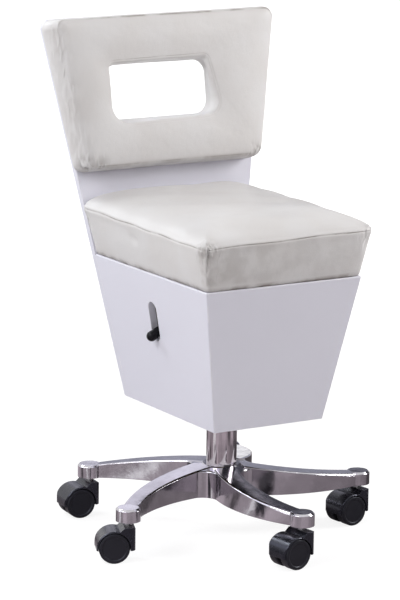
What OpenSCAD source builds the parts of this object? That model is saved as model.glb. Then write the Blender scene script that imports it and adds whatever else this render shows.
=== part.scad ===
// Pedicure technician's chair: an upholstered seat on a tapered white box, with a
// leaning back board, a gas lift and a five-legged cast base on twin-wheel casters.
// Millimetres, +Z up.  The origin is on the floor under the swivel axis, and the
// sitter faces -Y.  The seat is drawn at a raised setting of its gas lift.

/* [Box] */
// Height of the box's lower edge above the floor
box_z = 208; // [200:1:225]
// Height of the box
box_h = 238; // [230:1:255]
// Width of the box at its lower edge
box_bottom_w = 204; // [196:1:230]
// From the swivel axis to the front face at the lower edge
box_front_d = 145; // [135:1:160]
// From the swivel axis to the rear face at the lower edge
box_back_d = 143; // [135:1:160]
// Outward lean of the two side panels, degrees
side_lean = 10.1; // [8:0.1:12]
// Outward lean of the front panel, degrees
front_lean = 9.9; // [8:0.1:12]
// Backward lean of the back board, degrees
back_lean = 9.2; // [7:0.1:11]
// Thickness of the lacquered boards
board_t = 12; // [10:0.5:14]
// Flat worn onto the outer edges of the boards
board_ease = 1.2; // [0.6:0.1:2]

/* [Back] */
// Length of the back board along its slope
back_len = 627; // [610:1:650]
// Radius of the back board's top corners
back_corner_r = 14; // [8:1:20]
// Height of the back cushion along the slope
back_cushion_h = 253; // [240:1:270]
// Thickness of the back cushion at its seam
back_cushion_t = 37; // [32:1:44]
// Width of the hand-hole
hand_hole_w = 200; // [160:1:215]
// Height of the hand-hole
hand_hole_h = 92; // [75:1:100]
// Corner radius of the hand-hole
hand_hole_r = 24; // [12:1:30]
// Sideways offset of the hand-hole's centre
hand_hole_x = -6; // [-10:1:10]
// Hand-hole centre below the top of the board, along the slope
hand_hole_drop = 126; // [118:1:134]

/* [Seat] */
// Height of the seat cushion from the box to its top seam
seat_cushion_h = 73; // [60:1:85]
// Rise of the crown above the seam
seat_crown = 30; // [20:1:34]
// Radius of the seat cushion's front corners
seat_corner_r = 12; // [8:1:18]
// Radius of the seat cushion's rear corners
seat_rear_corner_r = 5; // [4:1:12]
// Thickness of the shelf that carries the seat
shelf_t = 18; // [15:1:21]
// Thickness of the board under the seat foam
seat_board_t = 9; // [6:1:12]

/* [Lever] */
// Width of the slot in the left side panel
slot_w = 25; // [23:1:30]
// Length of the slot along the panel
slot_l = 66; // [62:1:74]
// Height of the slot's centre above the floor
slot_z = 364; // [360:1:367]
// Droop of the lever below level, degrees
lever_droop = 29; // [27:0.5:30]
// Diameter of the lever rod
lever_d = 8; // [7:0.5:9]
// Length of the lever from its pivot to the end of the grip
lever_l = 140; // [132:1:150]
// Diameter of the lever grip
grip_d = 17; // [14:0.5:19]

/* [Gas lift] */
// Diameter of the stand tube
tube_d = 50; // [46:0.5:52]
// Height of the stand tube's top above the floor
tube_top_z = 262; // [255:1:264]
// Diameter of the stand tube's foot, where its taper ends
tube_foot_d = 47; // [44:0.5:47]
// Wall of the stand tube
tube_wall = 2; // [1.5:0.1:2.5]
// Diameter of the gas cylinder
cylinder_d = 28; // [27:0.5:29]
// Diameter of the cylinder's tapered tip
cylinder_tip_d = 26.4; // [25.8:0.1:26.8]
// Diameter of the piston rod
rod_d = 10; // [9:0.5:11]
// Travel down from the drawn height
lift_down = 80; // [60:1:80]
// Travel up from the drawn height
lift_up = 20; // [10:1:30]

/* [Star base] */
// From the swivel axis to each caster's stem
leg_reach = 235; // [220:1:250]
// Sideways bow of each leg
leg_bow = 28; // [15:1:32]
// Width of a leg at the hub
leg_w_hub = 44; // [40:1:48]
// Width of a leg at its pod
leg_w_pod = 27; // [24:1:31]
// Height of the base's underside above the floor
base_z = 65; // [65:1:72]
// Height of the hub above the underside
hub_h = 49; // [44:1:52]
// Height of a pod
pod_h = 22; // [20:1:24]
// Diameter of a pod
pod_d = 40; // [36:1:44]
// Radius of the webs between the legs
web_r = 25; // [18:1:30]
// Wall of the casting
cast_wall = 4.5; // [3.5:0.5:6]
// Turn of the base under the seat, degrees
base_turn = 2; // [-36:1:36]

/* [Casters] */
// Diameter of a caster wheel
wheel_d = 50; // [48:1:50]
// Width of a caster wheel
wheel_w = 18; // [16:0.5:20]
// From the swivel axis to the wheel axle
caster_trail = 24; // [20:1:26]
// Diameter of the caster stem
stem_d = 11; // [10:0.5:11]
// Diameter of the wheel axle
axle_d = 6; // [5:0.5:7]
// Heading of each caster, degrees from +X
caster_heading = [187, 186, 180, 174, 157];

/* [Hidden] */
LEGS = ["front", "right", "rear_right", "rear_left", "left"];
CASTER_PIECES = ["hood", "stem", "axle", "wheel_1", "wheel_2"];
CASTER_NODES = [for (leg = LEGS) for (piece = CASTER_PIECES) str(leg, "_caster_", piece)];
$fn = 96;
arc_fn = 288;

// Clearances
running = 0.05;        // radial, shaft in its bore
seam_gap = 0.3;        // between pieces on different bodies
upholstery_gap = 1;    // vinyl to board
shelf_fit = 0.5;       // shelf to panels

// Half the size of the blocks that stand for half-spaces
span = 1000;

// ---- vectors and outlines ----------------------------------------------------

function unit(v) = v / norm(v);
function lerp(a, b, t) = a + (b - a) * t;
function polar(r, a) = [r * cos(a), r * sin(a)];

// Radius of the arc over a chord, from its sagitta
function arc_radius(chord, sagitta) = (chord * chord / 4 + sagitta * sagitta) / (2 * sagitta);
// Centre of the arc of radius r from p to q, on the left of p to q
function arc_centre(p, q, r) =
    let (d = norm(q - p), rise = sqrt(r * r - d * d / 4))
    (p + q) / 2 + [-(q.y - p.y), q.x - p.x] * rise / d;
// Where two circles meet, on the left of the line from centre a to centre b
function circles_meet(a, ra, b, rb) =
    let (d = norm(b - a), along = (d * d + ra * ra - rb * rb) / (2 * d),
         aside = sqrt(ra * ra - along * along), u = (b - a) / d)
    a + u * along + [-u.y, u.x] * aside;
function turned(p, a) = [p.x * cos(a) - p.y * sin(a), p.x * sin(a) + p.y * cos(a)];

// A ring of points round the four-cornered outline q (anticlockwise), drawn in by
// inset, with corner radius r (or one for each corner) and each side pulled in by
// pull at its middle
ring_arc = 5;
ring_side = 6;
ring_n = 4 * (ring_arc + 1 + ring_side);
function side_dir(q, i) = unit(q[(i + 1) % 4] - q[i % 4]);
function side_in(q, i) = let (u = side_dir(q, i)) [-u.y, u.x];
function arc_middle(q, i, depth) =
    let (a = side_in(q, i + 3), b = side_in(q, i)) q[i % 4] + (a + b) * depth / (1 + a * b);
function corner_r(r, i) = is_list(r) ? r[i % 4] : r;
function ring(q, inset, r, pull) = [
    for (i = [0:3])
        let (before = side_in(q, i + 3), after = side_in(q, i),
             here = corner_r(r, i), there = corner_r(r, i + 1),
             c = arc_middle(q, i, inset + here), c_next = arc_middle(q, i + 1, inset + there),
             start = atan2(-before.y, -before.x), turn = acos(before * after))
        each concat(
            [for (k = [0:ring_arc]) c + polar(here, start + turn * k / ring_arc)],
            [for (m = [1:ring_side]) let (t = m / (ring_side + 1))
                lerp(c - after * here, c_next - after * there, t) + after * pull * sin(180 * t)])
];
function lifted(points, z) = [for (p = points) [p.x, p.y, z]];
function mixed(a, b, t) = [for (k = [0:len(a) - 1]) lerp(a[k], b[k], t)];
function middle(points) = [for (axis = [0:2])
    [for (p = points) p[axis]] * [for (p = points) 1 / len(points)]];

// Triangles between ring a and ring b of a skin
function band(a, b) = [
    for (k = [0:ring_n - 1]) let (n = (k + 1) % ring_n)
        each [[a * ring_n + k, b * ring_n + k, b * ring_n + n],
              [a * ring_n + k, b * ring_n + n, a * ring_n + n]]
];

// A closed form through a stack of rings, capped at both ends
module capped_skin(rings) {
    last = len(rings) - 1;
    foot = len(rings) * ring_n;
    points = concat([for (r = rings) each r], [middle(rings[0]), middle(rings[last])]);
    faces = concat(
        [for (j = [0:last - 1]) each band(j, j + 1)],
        [for (k = [0:ring_n - 1]) [foot, k, (k + 1) % ring_n]],
        [for (k = [0:ring_n - 1]) [foot + 1, last * ring_n + (k + 1) % ring_n, last * ring_n + k]]);
    polyhedron(points, faces);
}

// A closed form whose last ring joins its first, round a hole
module looped_skin(rings) {
    count = len(rings);
    polyhedron([for (r = rings) each r], [for (j = [0:count - 1]) each band(j, (j + 1) % count)]);
}

module rounded_rect(w, h, r) {
    square([w - 2 * r, h], center = true);
    square([w, h - 2 * r], center = true);
    for (x = [-1, 1], y = [-1, 1])
        translate([x * (w / 2 - r), y * (h / 2 - r)]) circle(r);
}

// A round bar from p to q
module bar(p, q, d) {
    v = q - p;
    translate(p)
        rotate(a = acos(v.z / norm(v)), v = [-v.y, v.x, 0])
        cylinder(d = d, h = norm(v));
}

module tube(z0, z1, d, bore) {
    translate([0, 0, z0]) difference() {
        cylinder(d = d, h = z1 - z0);
        translate([0, 0, -1]) cylinder(d = bore, h = z1 - z0 + 2);
    }
}

// ---- the tapered box -----------------------------------------------------------

box_top_z = box_z + box_h;
function rise(z) = z - box_z;
function half_w(z) = box_bottom_w / 2 + rise(z) * tan(side_lean);
function front_y(z) = -box_front_d - rise(z) * tan(front_lean);
function back_y(z) = box_back_d + rise(z) * tan(back_lean);
// Inward normal of a face, and a point on the face
function face_in(side) =
    side == "left" ? [cos(side_lean), 0, sin(side_lean)] :
    side == "right" ? [-cos(side_lean), 0, sin(side_lean)] :
    side == "front" ? [0, cos(front_lean), sin(front_lean)] :
    [0, -cos(back_lean), sin(back_lean)];
function face_point(side) =
    side == "left" ? [-box_bottom_w / 2, 0, box_z] :
    side == "right" ? [box_bottom_w / 2, 0, box_z] :
    side == "front" ? [0, -box_front_d, box_z] :
    [0, box_back_d, box_z];
// Where two faces meet at the lower edge, each drawn in by depth
function corner_point(a, b, depth) =
    let (x = face_point(a).x - sign(face_point(a).x) * depth / cos(side_lean),
         lean = b == "front" ? front_lean : back_lean,
         y = face_point(b).y - sign(face_point(b).y) * depth / cos(lean))
    [x, y, box_z];

// The half of space that a plane's normal points into
module half_space(point, normal) {
    n = unit(normal);
    translate(point)
        rotate(a = acos(n.z), v = cross([0, 0, 1], n))
        translate([-span, -span, 0]) cube(2 * span);
}
module inside_face(side, depth) {
    half_space(face_point(side) + depth * face_in(side), face_in(side));
}
module between(z0, z1) {
    translate([-span, -span, z0]) cube([2 * span, 2 * span, z1 - z0]);
}
// What lies inside the four faces at the given depths
module core(side_d, front_d, back_d) {
    intersection() {
        inside_face("left", side_d);
        inside_face("right", side_d);
        inside_face("front", front_d);
        inside_face("back", back_d);
    }
}
// Takes the sharp edge off the corner between two faces
module ease_corner(a, b) {
    n = unit(face_in(a) + face_in(b));
    half_space(corner_point(a, b, 0) + n * board_ease, n);
}
// Takes the sharp edge off the rim at the top of a face
module ease_rim(side, z) {
    n = unit(face_in(side) - [0, 0, 1]);
    rim = side == "front" ? [0, front_y(z), z] :
        side == "left" ? [-half_w(z), 0, z] : [half_w(z), 0, z];
    half_space(rim + n * board_ease, n);
}
// The side of the mitre plane at corner a-b that belongs to face a
module mitre(a, b) {
    half_space(corner_point(a == "front" ? b : a, "front", 0), face_in(b) - face_in(a));
}
// Stands children on the rear face of the back board: y out of it, z up its slope
module on_back() {
    translate([0, box_back_d, box_z]) rotate([-back_lean, 0, 0]) children();
}

module side_panel(side) {
    difference() {
        intersection() {
            between(box_z, box_top_z);
            inside_face(side, 0);
            inside_face("front", 0);
            inside_face("back", board_t);
            mitre(side, "front");
            ease_corner(side, "front");
            ease_rim(side, box_top_z);
        }
        inside_face(side, board_t);
    }
}
module lever_slot() {
    slot_up = (slot_z - box_z) / cos(side_lean);
    translate(face_point("left")) rotate([0, -side_lean, 0]) translate([-board_t, 0, slot_up])
        rotate([0, 90, 0]) linear_extrude(3 * board_t) {
            square([slot_l - slot_w, slot_w], center = true);
            for (end = [-1, 1])
                translate([end * (slot_l - slot_w) / 2, 0]) circle(d = slot_w);
        }
}
module left_panel() {
    color("white") difference() {
        side_panel("left");
        lever_slot();
    }
}
module right_panel() {
    color("white") side_panel("right");
}
module front_panel() {
    color("white") difference() {
        intersection() {
            between(box_z, box_top_z);
            inside_face("front", 0);
            mitre("front", "left");
            mitre("front", "right");
            ease_corner("left", "front");
            ease_corner("right", "front");
            ease_rim("front", box_top_z);
        }
        inside_face("front", board_t);
    }
}

// ---- the back board and what is bolted to it ------------------------------------

// Half-width of the back at a distance up its slope
function back_half_w(up) = box_bottom_w / 2 + up * cos(back_lean) * tan(side_lean);
hand_hole_up = back_len - hand_hole_drop;
// Where the four bolts of the back cushion go: sideways, and up the slope
back_bolt_in = 48;
back_bolt_margin = 36;
back_cushion_foot = back_len - back_cushion_h;
function back_bolt_ups() = [back_cushion_foot + back_bolt_margin, back_len - back_bolt_margin];
back_bolt_d = 6;
back_bolt_hole_d = 6.6;
// Their countersunk heads lie just under the rear face
back_head_d = 12;
back_head_sink = 0.4;

module hand_hole(margin) {
    translate([hand_hole_x, 0, hand_hole_up]) rotate([90, 0, 0])
        linear_extrude(6 * board_t, center = true)
        rounded_rect(hand_hole_w + 2 * margin, hand_hole_h + 2 * margin, hand_hole_r + margin);
}
module at_back_bolts() {
    for (up = back_bolt_ups(), x = [-1, 1])
        translate([x * (back_half_w(up) - back_bolt_in), 0, up]) rotate([90, 0, 0]) children();
}
module back_bolt_hole() {
    above = 1;
    mouth_d = back_head_d + back_bolt_hole_d - back_bolt_d + 2 * (back_head_sink + above);
    cylinder(d = back_bolt_hole_d, h = 3 * board_t, center = true);
    translate([0, 0, -above])
        cylinder(d1 = mouth_d, d2 = back_bolt_hole_d, h = (mouth_d - back_bolt_hole_d) / 2);
}
module back_board() {
    corner_x = back_half_w(back_len) - back_corner_r * (1 + tan(side_lean));
    color("white") difference() {
        intersection() {
            on_back() translate([-span, -board_t, -board_t]) cube([2 * span, board_t, back_len + board_t]);
            between(box_z, box_z + back_len);
            inside_face("left", 0);
            inside_face("right", 0);
        }
        on_back() {
            hand_hole(0);
            at_back_bolts() back_bolt_hole();
            for (x = [-1, 1])
                translate([x * corner_x, 0, back_len - back_corner_r]) rotate([90, 0, 0])
                    linear_extrude(3 * board_t, center = true) difference() {
                        translate([x > 0 ? 0 : -2 * back_corner_r, 0]) square(2 * back_corner_r);
                        circle(back_corner_r);
                    }
        }
    }
}

// Board inside the rear of the back cushion
back_ply_t = 8;
back_ply_inset = 8;
back_edge_r = 16;
// Outline of the board, or of the recess round it at a margin
function back_ply(margin) = ring(back_outline(), back_ply_inset - margin, back_edge_r + margin, 0);
module back_cushion_board() {
    color("burlywood") on_back() difference() {
        translate([0, -board_t, 0]) rotate([90, 0, 0])
            linear_extrude(back_ply_t) polygon(back_ply(0));
        hand_hole(back_ply_inset);
        at_back_bolts() cylinder(d = back_bolt_d, h = 6 * board_t, center = true);
    }
}
module back_bolts() {
    socket_w = 4.6;
    socket_depth = 2.2;
    length = board_t + back_ply_t - back_head_sink;
    color("silver") on_back() at_back_bolts() translate([0, 0, back_head_sink]) difference() {
        union() {
            cylinder(d1 = back_head_d, d2 = back_bolt_d, h = (back_head_d - back_bolt_d) / 2);
            cylinder(d = back_bolt_d, h = length);
        }
        translate([0, 0, -1]) cylinder(d = socket_w, h = socket_depth + 1, $fn = 6);
    }
}

// Outline of the back cushion on the board, sideways and up the slope
function back_outline() = let (low = back_half_w(back_cushion_foot), high = back_half_w(back_len)) [
    [-low, back_cushion_foot], [low, back_cushion_foot], [high, back_len], [-high, back_len]
];
function hole_outline() = let (w = hand_hole_w / 2, h = hand_hole_h / 2) [
    [hand_hole_x - w, hand_hole_up - h], [hand_hole_x + w, hand_hole_up - h],
    [hand_hole_x + w, hand_hole_up + h], [hand_hole_x - w, hand_hole_up + h]
];
// A ring round the outside of the back cushion, and one round its hand-hole
function back_ring(inset, depth) = lifted(ring(back_outline(), inset, back_edge_r, 2), depth);
function hole_ring(margin, depth) =
    lifted(ring(hole_outline(), -margin, hand_hole_r + margin, 0), depth);
module back_cushion() {
    t = back_cushion_t;
    // Where the rounded edges meet the crowned face
    face_in = 24;
    face_hole = 18;
    recess = 1;
    outer = back_ring(face_in, t + 3);
    inner = hole_ring(face_hole, t + 2.5);
    rings = concat(
        // drawn-in boxing, then the rounded front edge
        [back_ring(0.5, 0), back_ring(1.6, t * 0.4), back_ring(0.4, t * 0.72),
         back_ring(1.6, t * 0.86), back_ring(5, t * 0.97), back_ring(11, t + 1.2), outer],
        // the crowned face between the edge and the hand-hole
        [for (s = [0.33, 0.67]) lifted(mixed(outer, inner, s), t + 4.5)],
        // over the edge of the hand-hole and through it
        [inner, hole_ring(9, t + 0.5), hole_ring(4, t * 0.93), hole_ring(1.2, t * 0.8),
         hole_ring(0, t * 0.6), hole_ring(0, 0)],
        // the recess for the board
        [hole_ring(back_ply_inset - recess, 0),
         hole_ring(back_ply_inset - recess, back_ply_t + seam_gap),
         lifted(back_ply(recess), back_ply_t + seam_gap), lifted(back_ply(recess), 0)]);
    color("ivory") on_back() translate([0, -board_t, 0]) rotate([90, 0, 0]) looped_skin(rings);
}

// ---- the seat ------------------------------------------------------------------

shelf_top_z = box_top_z - seat_board_t;
shelf_z = shelf_top_z - shelf_t;
seat_seam_z = box_top_z + seat_cushion_h;
// Outline of the seat cushion at a height
function seat_outline(z) =
    let (w = half_w(z), f = front_y(z), b = back_y(z) - board_t / cos(back_lean) - upholstery_gap) [
        [-w, f], [w, f], [w, b], [-w, b]
    ];
function seat_radii(less) =
    [for (r = [seat_corner_r, seat_corner_r, seat_rear_corner_r, seat_rear_corner_r]) max(2, r - less)];
function seat_ring(z, inset, pull) = lifted(ring(seat_outline(z), inset, seat_radii(0), pull), z);
// How far in the crown's last ring is at the sides, and how much further back the
// crown lies than the seam
crown_reach = half_w(seat_seam_z) * 0.88;
crown_bias = 0.6;
// A ring of the crown, whose corners tighten as it closes: reach and rise are shares
function crown_ring(reach, rise) =
    let (inset = crown_reach * reach,
         back = [for (p = seat_outline(seat_seam_z)) p + [0, inset * crown_bias]])
    lifted(ring(back, inset, seat_radii(inset / 12), 2), seat_seam_z + seat_crown * rise);
module seat_cushion() {
    h = seat_cushion_h;
    rings = [
        seat_ring(box_top_z, 3, 0), seat_ring(box_top_z + 3, 0.5, 0),
        seat_ring(box_top_z + h * 0.3, 1.6, 1.5), seat_ring(box_top_z + h * 0.6, 2, 2),
        seat_ring(box_top_z + h * 0.86, 0.8, 1), seat_ring(box_top_z + h * 0.95, 0, 0.5),
        seat_ring(seat_seam_z, 0.8, 0.5), crown_ring(0.03, 0.2), crown_ring(0.07, 0.42),
        crown_ring(0.14, 0.62), crown_ring(0.26, 0.79), crown_ring(0.42, 0.9),
        crown_ring(0.61, 0.96), crown_ring(0.81, 0.99), crown_ring(1, 1)
    ];
    color("ivory") capped_skin(rings);
}
// Where the screws go, in from the side panels and from the front and the back
seat_screw_side = 50;
seat_screw_end = 62;
module at_seat_screws() {
    for (x = [-1, 1], y = [front_y(shelf_z) + seat_screw_end, back_y(shelf_z) - seat_screw_end])
        translate([x * (half_w(shelf_z) - seat_screw_side), y, shelf_z]) children();
}
seat_screw_d = 4.5;
module seat_screws() {
    head_h = 3;
    color("silver") at_seat_screws() {
        translate([0, 0, -head_h]) cylinder(d1 = 6, d2 = 10, h = head_h);
        cylinder(d = seat_screw_d, h = shelf_t + seat_board_t - 2);
    }
}
module seat_cushion_board() {
    color("burlywood") difference() {
        intersection() {
            between(shelf_top_z, box_top_z);
            core(board_t + shelf_fit, board_t + shelf_fit, board_t + shelf_fit);
        }
        at_seat_screws() cylinder(d = seat_screw_d, h = shelf_t + seat_board_t - 2);
    }
}

// The shelf inside the box's rim, and the battens glued under it
cleat_w = 20;
cleat_h = 20;
module seat_shelf() {
    color("burlywood") difference() {
        intersection() {
            between(shelf_z, shelf_top_z);
            core(board_t + shelf_fit, board_t + shelf_fit, board_t + shelf_fit);
        }
        at_seat_screws() translate([0, 0, -1]) cylinder(d = seat_screw_d, h = shelf_t + 2);
        at_plate_bolts() {
            translate([0, 0, -1]) cylinder(d = nut_barrel_d, h = shelf_t + 2);
            translate([0, 0, shelf_t - nut_flange_t]) cylinder(d = nut_flange_d, h = 2 * nut_flange_t);
        }
    }
}
module cleat(side, end_depth) {
    depth = board_t;
    difference() {
        intersection() {
            between(shelf_z - cleat_h, shelf_z);
            core(side == "left" || side == "right" ? depth : end_depth,
                 side == "front" ? depth : end_depth, side == "back" ? depth : end_depth);
        }
        inside_face(side, depth + cleat_w);
    }
}
module shelf_cleats() {
    color("burlywood") {
        for (side = ["left", "right"]) cleat(side, board_t + cleat_w + 2);
        for (side = ["front", "back"]) cleat(side, board_t);
    }
}
// Triangular glue blocks down the four corners inside the box
block_leg = 24;
block_margin = 10;
module glue_block(a, b) {
    n = unit(face_in(a) + face_in(b));
    difference() {
        intersection() {
            between(box_z + block_margin, shelf_z - cleat_h - block_margin);
            inside_face(a, board_t);
            inside_face(b, board_t);
        }
        half_space(corner_point(a, b, board_t) + n * block_leg * sqrt(0.5), n);
    }
}
module corner_blocks() {
    color("burlywood")
        for (a = ["left", "right"], b = ["front", "back"]) glue_block(a, b);
}

// ---- seat plate, taper socket and lever ------------------------------------------

plate_t = 3;
plate_w = 180;
plate_d = 150;
plate_z = shelf_z - plate_t;
plate_bolt_x = 65;
plate_bolt_y = 52;
plate_bolt_d = 6;
plate_lip = 9;
plate_corner_r = 14;
nut_barrel_d = 8;
nut_flange_d = 18;
nut_flange_t = 1.5;
bracket_t = 3;
bracket_h = 50;
bracket_front_x = 26;
bracket_back_x = -38;
socket_d = 38;
socket_h = 40;
socket_drop = 24;
socket_top_z = plate_z - socket_drop;
socket_z = socket_top_z - socket_h;
pivot_z = plate_z - socket_drop / 2;
// The valve pin's travel is the lever's swing times the pivot's distance
pin_travel = 4;
lever_swing = 12;
pivot_x = -pin_travel / (lever_swing * PI / 180);
pivot_pin_d = 5;

module at_plate_bolts() {
    for (x = [-plate_bolt_x, plate_bolt_x], y = [-plate_bolt_y, plate_bolt_y])
        translate([x, y, shelf_z]) children();
}
module seat_plate() {
    color("dimgray") difference() {
        translate([0, 0, plate_z]) {
            linear_extrude(plate_t) rounded_rect(plate_w, plate_d, plate_corner_r);
            for (y = [-1, 1])
                translate([plate_corner_r - plate_w / 2, (y * (plate_d - plate_t) - plate_t) / 2, -plate_lip])
                    cube([plate_w - 2 * plate_corner_r, plate_t, plate_lip + 1]);
        }
        at_plate_bolts() translate([0, 0, -plate_t - 1]) cylinder(d = 6.6, h = plate_t + 2);
    }
}
module plate_bolts() {
    head_h = 4;
    color("silver") at_plate_bolts() {
        translate([0, 0, -plate_t - head_h]) cylinder(d = 10, h = head_h, $fn = 6);
        translate([0, 0, -plate_t]) cylinder(d = plate_bolt_d, h = plate_t + shelf_t);
    }
}
module plate_nuts() {
    color("silver") at_plate_bolts() difference() {
        union() {
            translate([0, 0, shelf_t - nut_flange_t]) cylinder(d = nut_flange_d, h = nut_flange_t);
            translate([0, 0, 4]) cylinder(d = nut_barrel_d, h = shelf_t - 4);
        }
        cylinder(d = plate_bolt_d, h = shelf_t + 1);
    }
}
module lever_bracket() {
    inner = socket_d / 2;
    length = bracket_front_x - bracket_back_x;
    color("dimgray") difference() {
        translate([bracket_back_x, 0, plate_z - bracket_h]) {
            for (y = [-inner - bracket_t, inner])
                translate([0, y, 0]) cube([length, bracket_t, bracket_h]);
            translate([0, -inner, bracket_h - bracket_t]) cube([length, 2 * inner, bracket_t]);
        }
        translate([pivot_x, 0, pivot_z]) rotate([90, 0, 0])
            cylinder(d = pivot_pin_d, h = socket_d + 4 * bracket_t, center = true);
    }
}
module taper_socket() {
    color("dimgray") translate([0, 0, socket_z]) difference() {
        cylinder(d = socket_d, h = socket_h);
        cylinder(d1 = cylinder_d, d2 = cylinder_tip_d, h = socket_h);
    }
}
module pivot_pin() {
    length = socket_d + 2 * bracket_t + 3;
    color("silver") translate([pivot_x, 0, pivot_z]) rotate([90, 0, 0]) {
        cylinder(d = pivot_pin_d, h = length, center = true);
        translate([0, 0, -length / 2]) cylinder(d = 8, h = 1.5, center = true);
    }
}

// A point along the drooping arm of the lever, measured from its pivot
function along_lever(l) = [pivot_x - l * cos(lever_droop), 0, pivot_z - l * sin(lever_droop)];
boss_d = 14;
grip_l = 44;
module lever_rod() {
    pivot = [pivot_x, 0, pivot_z];
    color("silver") difference() {
        union() {
            bar(pivot, along_lever(lever_l - 6), lever_d);
            bar(pivot, [5, 0, pivot_z], lever_d);
            translate(pivot) rotate([90, 0, 0]) cylinder(d = boss_d, h = socket_d - 3, center = true);
        }
        translate(pivot) rotate([90, 0, 0])
            cylinder(d = pivot_pin_d + 2 * running, h = socket_d, center = true);
    }
}
// Moulded grip: a slim sleeve that swells to a rounded bulb
module lever_grip() {
    neck_d = grip_d - 3;
    bulb = grip_d / 2;
    color("black") difference() {
        translate(along_lever(lever_l - grip_l)) rotate([0, -90 - lever_droop, 0]) {
            rotate_extrude() intersection() {
                union() {
                    polygon([[0, 0], [neck_d / 2 - 1, 0], [neck_d / 2, 1.5],
                             [neck_d / 2, grip_l * 0.3], [bulb, grip_l - bulb], [0, grip_l - bulb]]);
                    translate([0, grip_l - bulb]) circle(bulb);
                }
                square([bulb, grip_l]);
            }
        }
        bar(along_lever(lever_l - grip_l - 1), along_lever(lever_l - 6), lever_d);
    }
}

// ---- gas lift --------------------------------------------------------------------

hub_top_z = base_z + hub_h;
tube_floor_t = 4;
race_t = 2;
ball_d = 4;
ball_ring_r = 10;
race_d = 2 * ball_ring_r + 2 * ball_d;
rod_foot_d = rod_d - 2;
race_z = base_z + tube_floor_t;
upper_race_z = race_z + race_t + ball_d + running;
rod_shoulder_z = upper_race_z + race_t;
tube_bore = tube_d - 2 * tube_wall;
foot_bore = tube_foot_d - 2 * tube_wall - 1;
cylinder_wall = 2;
cylinder_bore = cylinder_d - 2 * cylinder_wall;
cylinder_foot_z = rod_shoulder_z + lift_down + 15;
seal_h = 14;
piston_h = 12;
piston_z = cylinder_foot_z + seal_h + lift_up + 1;
bush_l = 80;

module stand_tube() {
    color("silver") difference() {
        translate([0, 0, base_z]) {
            cylinder(d1 = tube_foot_d, d2 = tube_d, h = hub_h);
            translate([0, 0, hub_h]) cylinder(d = tube_d, h = tube_top_z - hub_top_z);
        }
        translate([0, 0, race_z]) cylinder(d = foot_bore, h = hub_h);
        translate([0, 0, hub_top_z]) cylinder(d = tube_bore, h = tube_top_z - hub_top_z + 1);
        translate([0, 0, base_z - 1]) cylinder(d = rod_foot_d + 2 * running, h = tube_floor_t + 2);
    }
}
module guide_bush() {
    flange_t = 2;
    color("black") difference() {
        union() {
            translate([0, 0, tube_top_z - bush_l]) cylinder(d = tube_bore, h = bush_l);
            translate([0, 0, tube_top_z]) cylinder(d = tube_d - 1, h = flange_t);
        }
        translate([0, 0, tube_top_z - bush_l - 1])
            cylinder(d = cylinder_d + 2 * running, h = bush_l + flange_t + 2);
    }
}
module thrust_race_lower() {
    color("silver") tube(race_z, race_z + race_t, race_d, rod_foot_d + 2 * running);
}
module thrust_race_upper() {
    color("silver") tube(upper_race_z, upper_race_z + race_t, race_d, rod_foot_d);
}
module thrust_balls() {
    count = 12;
    color("silver") for (i = [0:count - 1])
        rotate([0, 0, i * 360 / count]) translate([ball_ring_r, 0, race_z + race_t + ball_d / 2])
            sphere(d = ball_d);
}
module piston_rod() {
    foot_z = base_z - 6;
    color("silver") difference() {
        union() {
            translate([0, 0, foot_z]) cylinder(d = rod_foot_d, h = rod_shoulder_z - foot_z);
            translate([0, 0, rod_shoulder_z]) cylinder(d = rod_d, h = piston_z - rod_shoulder_z);
        }
        tube(base_z - clip_t - seam_gap, base_z - seam_gap, rod_foot_d + 2, rod_foot_d - 1.6);
    }
}
clip_t = 1.2;
module rod_clip() {
    color("silver") difference() {
        tube(base_z - clip_t - seam_gap, base_z - seam_gap, rod_foot_d + 7, rod_foot_d - 1.6);
        translate([0, -1.5, base_z - 4]) cube([rod_d, 3, 8]);
    }
}
module piston() {
    groove = 2;
    color("dimgray") difference() {
        translate([0, 0, piston_z]) cylinder(d = cylinder_bore - 2 * running, h = piston_h);
        tube(piston_z + piston_h / 2 - 1, piston_z + piston_h / 2 + 1, cylinder_bore + 2,
             cylinder_bore - 2 * groove);
    }
}
module gas_cylinder() {
    color("dimgray") difference() {
        union() {
            translate([0, 0, cylinder_foot_z]) cylinder(d = cylinder_d, h = socket_z - cylinder_foot_z);
            translate([0, 0, socket_z]) cylinder(d1 = cylinder_d, d2 = cylinder_tip_d, h = socket_h);
        }
        translate([0, 0, cylinder_foot_z - 1])
            cylinder(d = cylinder_bore, h = socket_top_z - cylinder_foot_z + 2);
    }
}
module cylinder_seal() {
    color("black") tube(cylinder_foot_z, cylinder_foot_z + seal_h, cylinder_bore, rod_d + 2 * running);
}
valve_d = 8;
valve_body_h = 32;
pin_top_z = pivot_z - lever_d / 2 - seam_gap;
module valve_body() {
    color("gold") difference() {
        translate([0, 0, socket_top_z - valve_body_h]) cylinder(d = cylinder_bore, h = valve_body_h);
        translate([0, 0, socket_top_z - valve_body_h + 4])
            cylinder(d = valve_d + 2 * running, h = valve_body_h);
    }
}
module valve_pin() {
    foot_z = socket_top_z - valve_body_h + 4 + pin_travel + 1;
    color("silver") {
        translate([0, 0, foot_z]) cylinder(d = valve_d, h = pin_top_z - valve_d / 2 - foot_z);
        translate([0, 0, pin_top_z - valve_d / 2]) sphere(d = valve_d);
    }
}

// ---- star base -------------------------------------------------------------------

// Each leg is drawn along +X from the axis, and bows towards -Y.  Its top is a plane
// that falls from leg_axis_z over the swivel axis to the top of the pod.
leg_axis_z = hub_top_z + 4;
pod_top_z = base_z + pod_h;
leg_fall = atan((leg_axis_z - pod_top_z + 2) / leg_reach);
edge_r = 4;
// How far the rounding of the legs' top edges stands off their walls, and how far
// the webs' fillets run into the legs
edge_slack = 0.8;
web_bite = 0.8;
leg_depth = 80;
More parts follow.
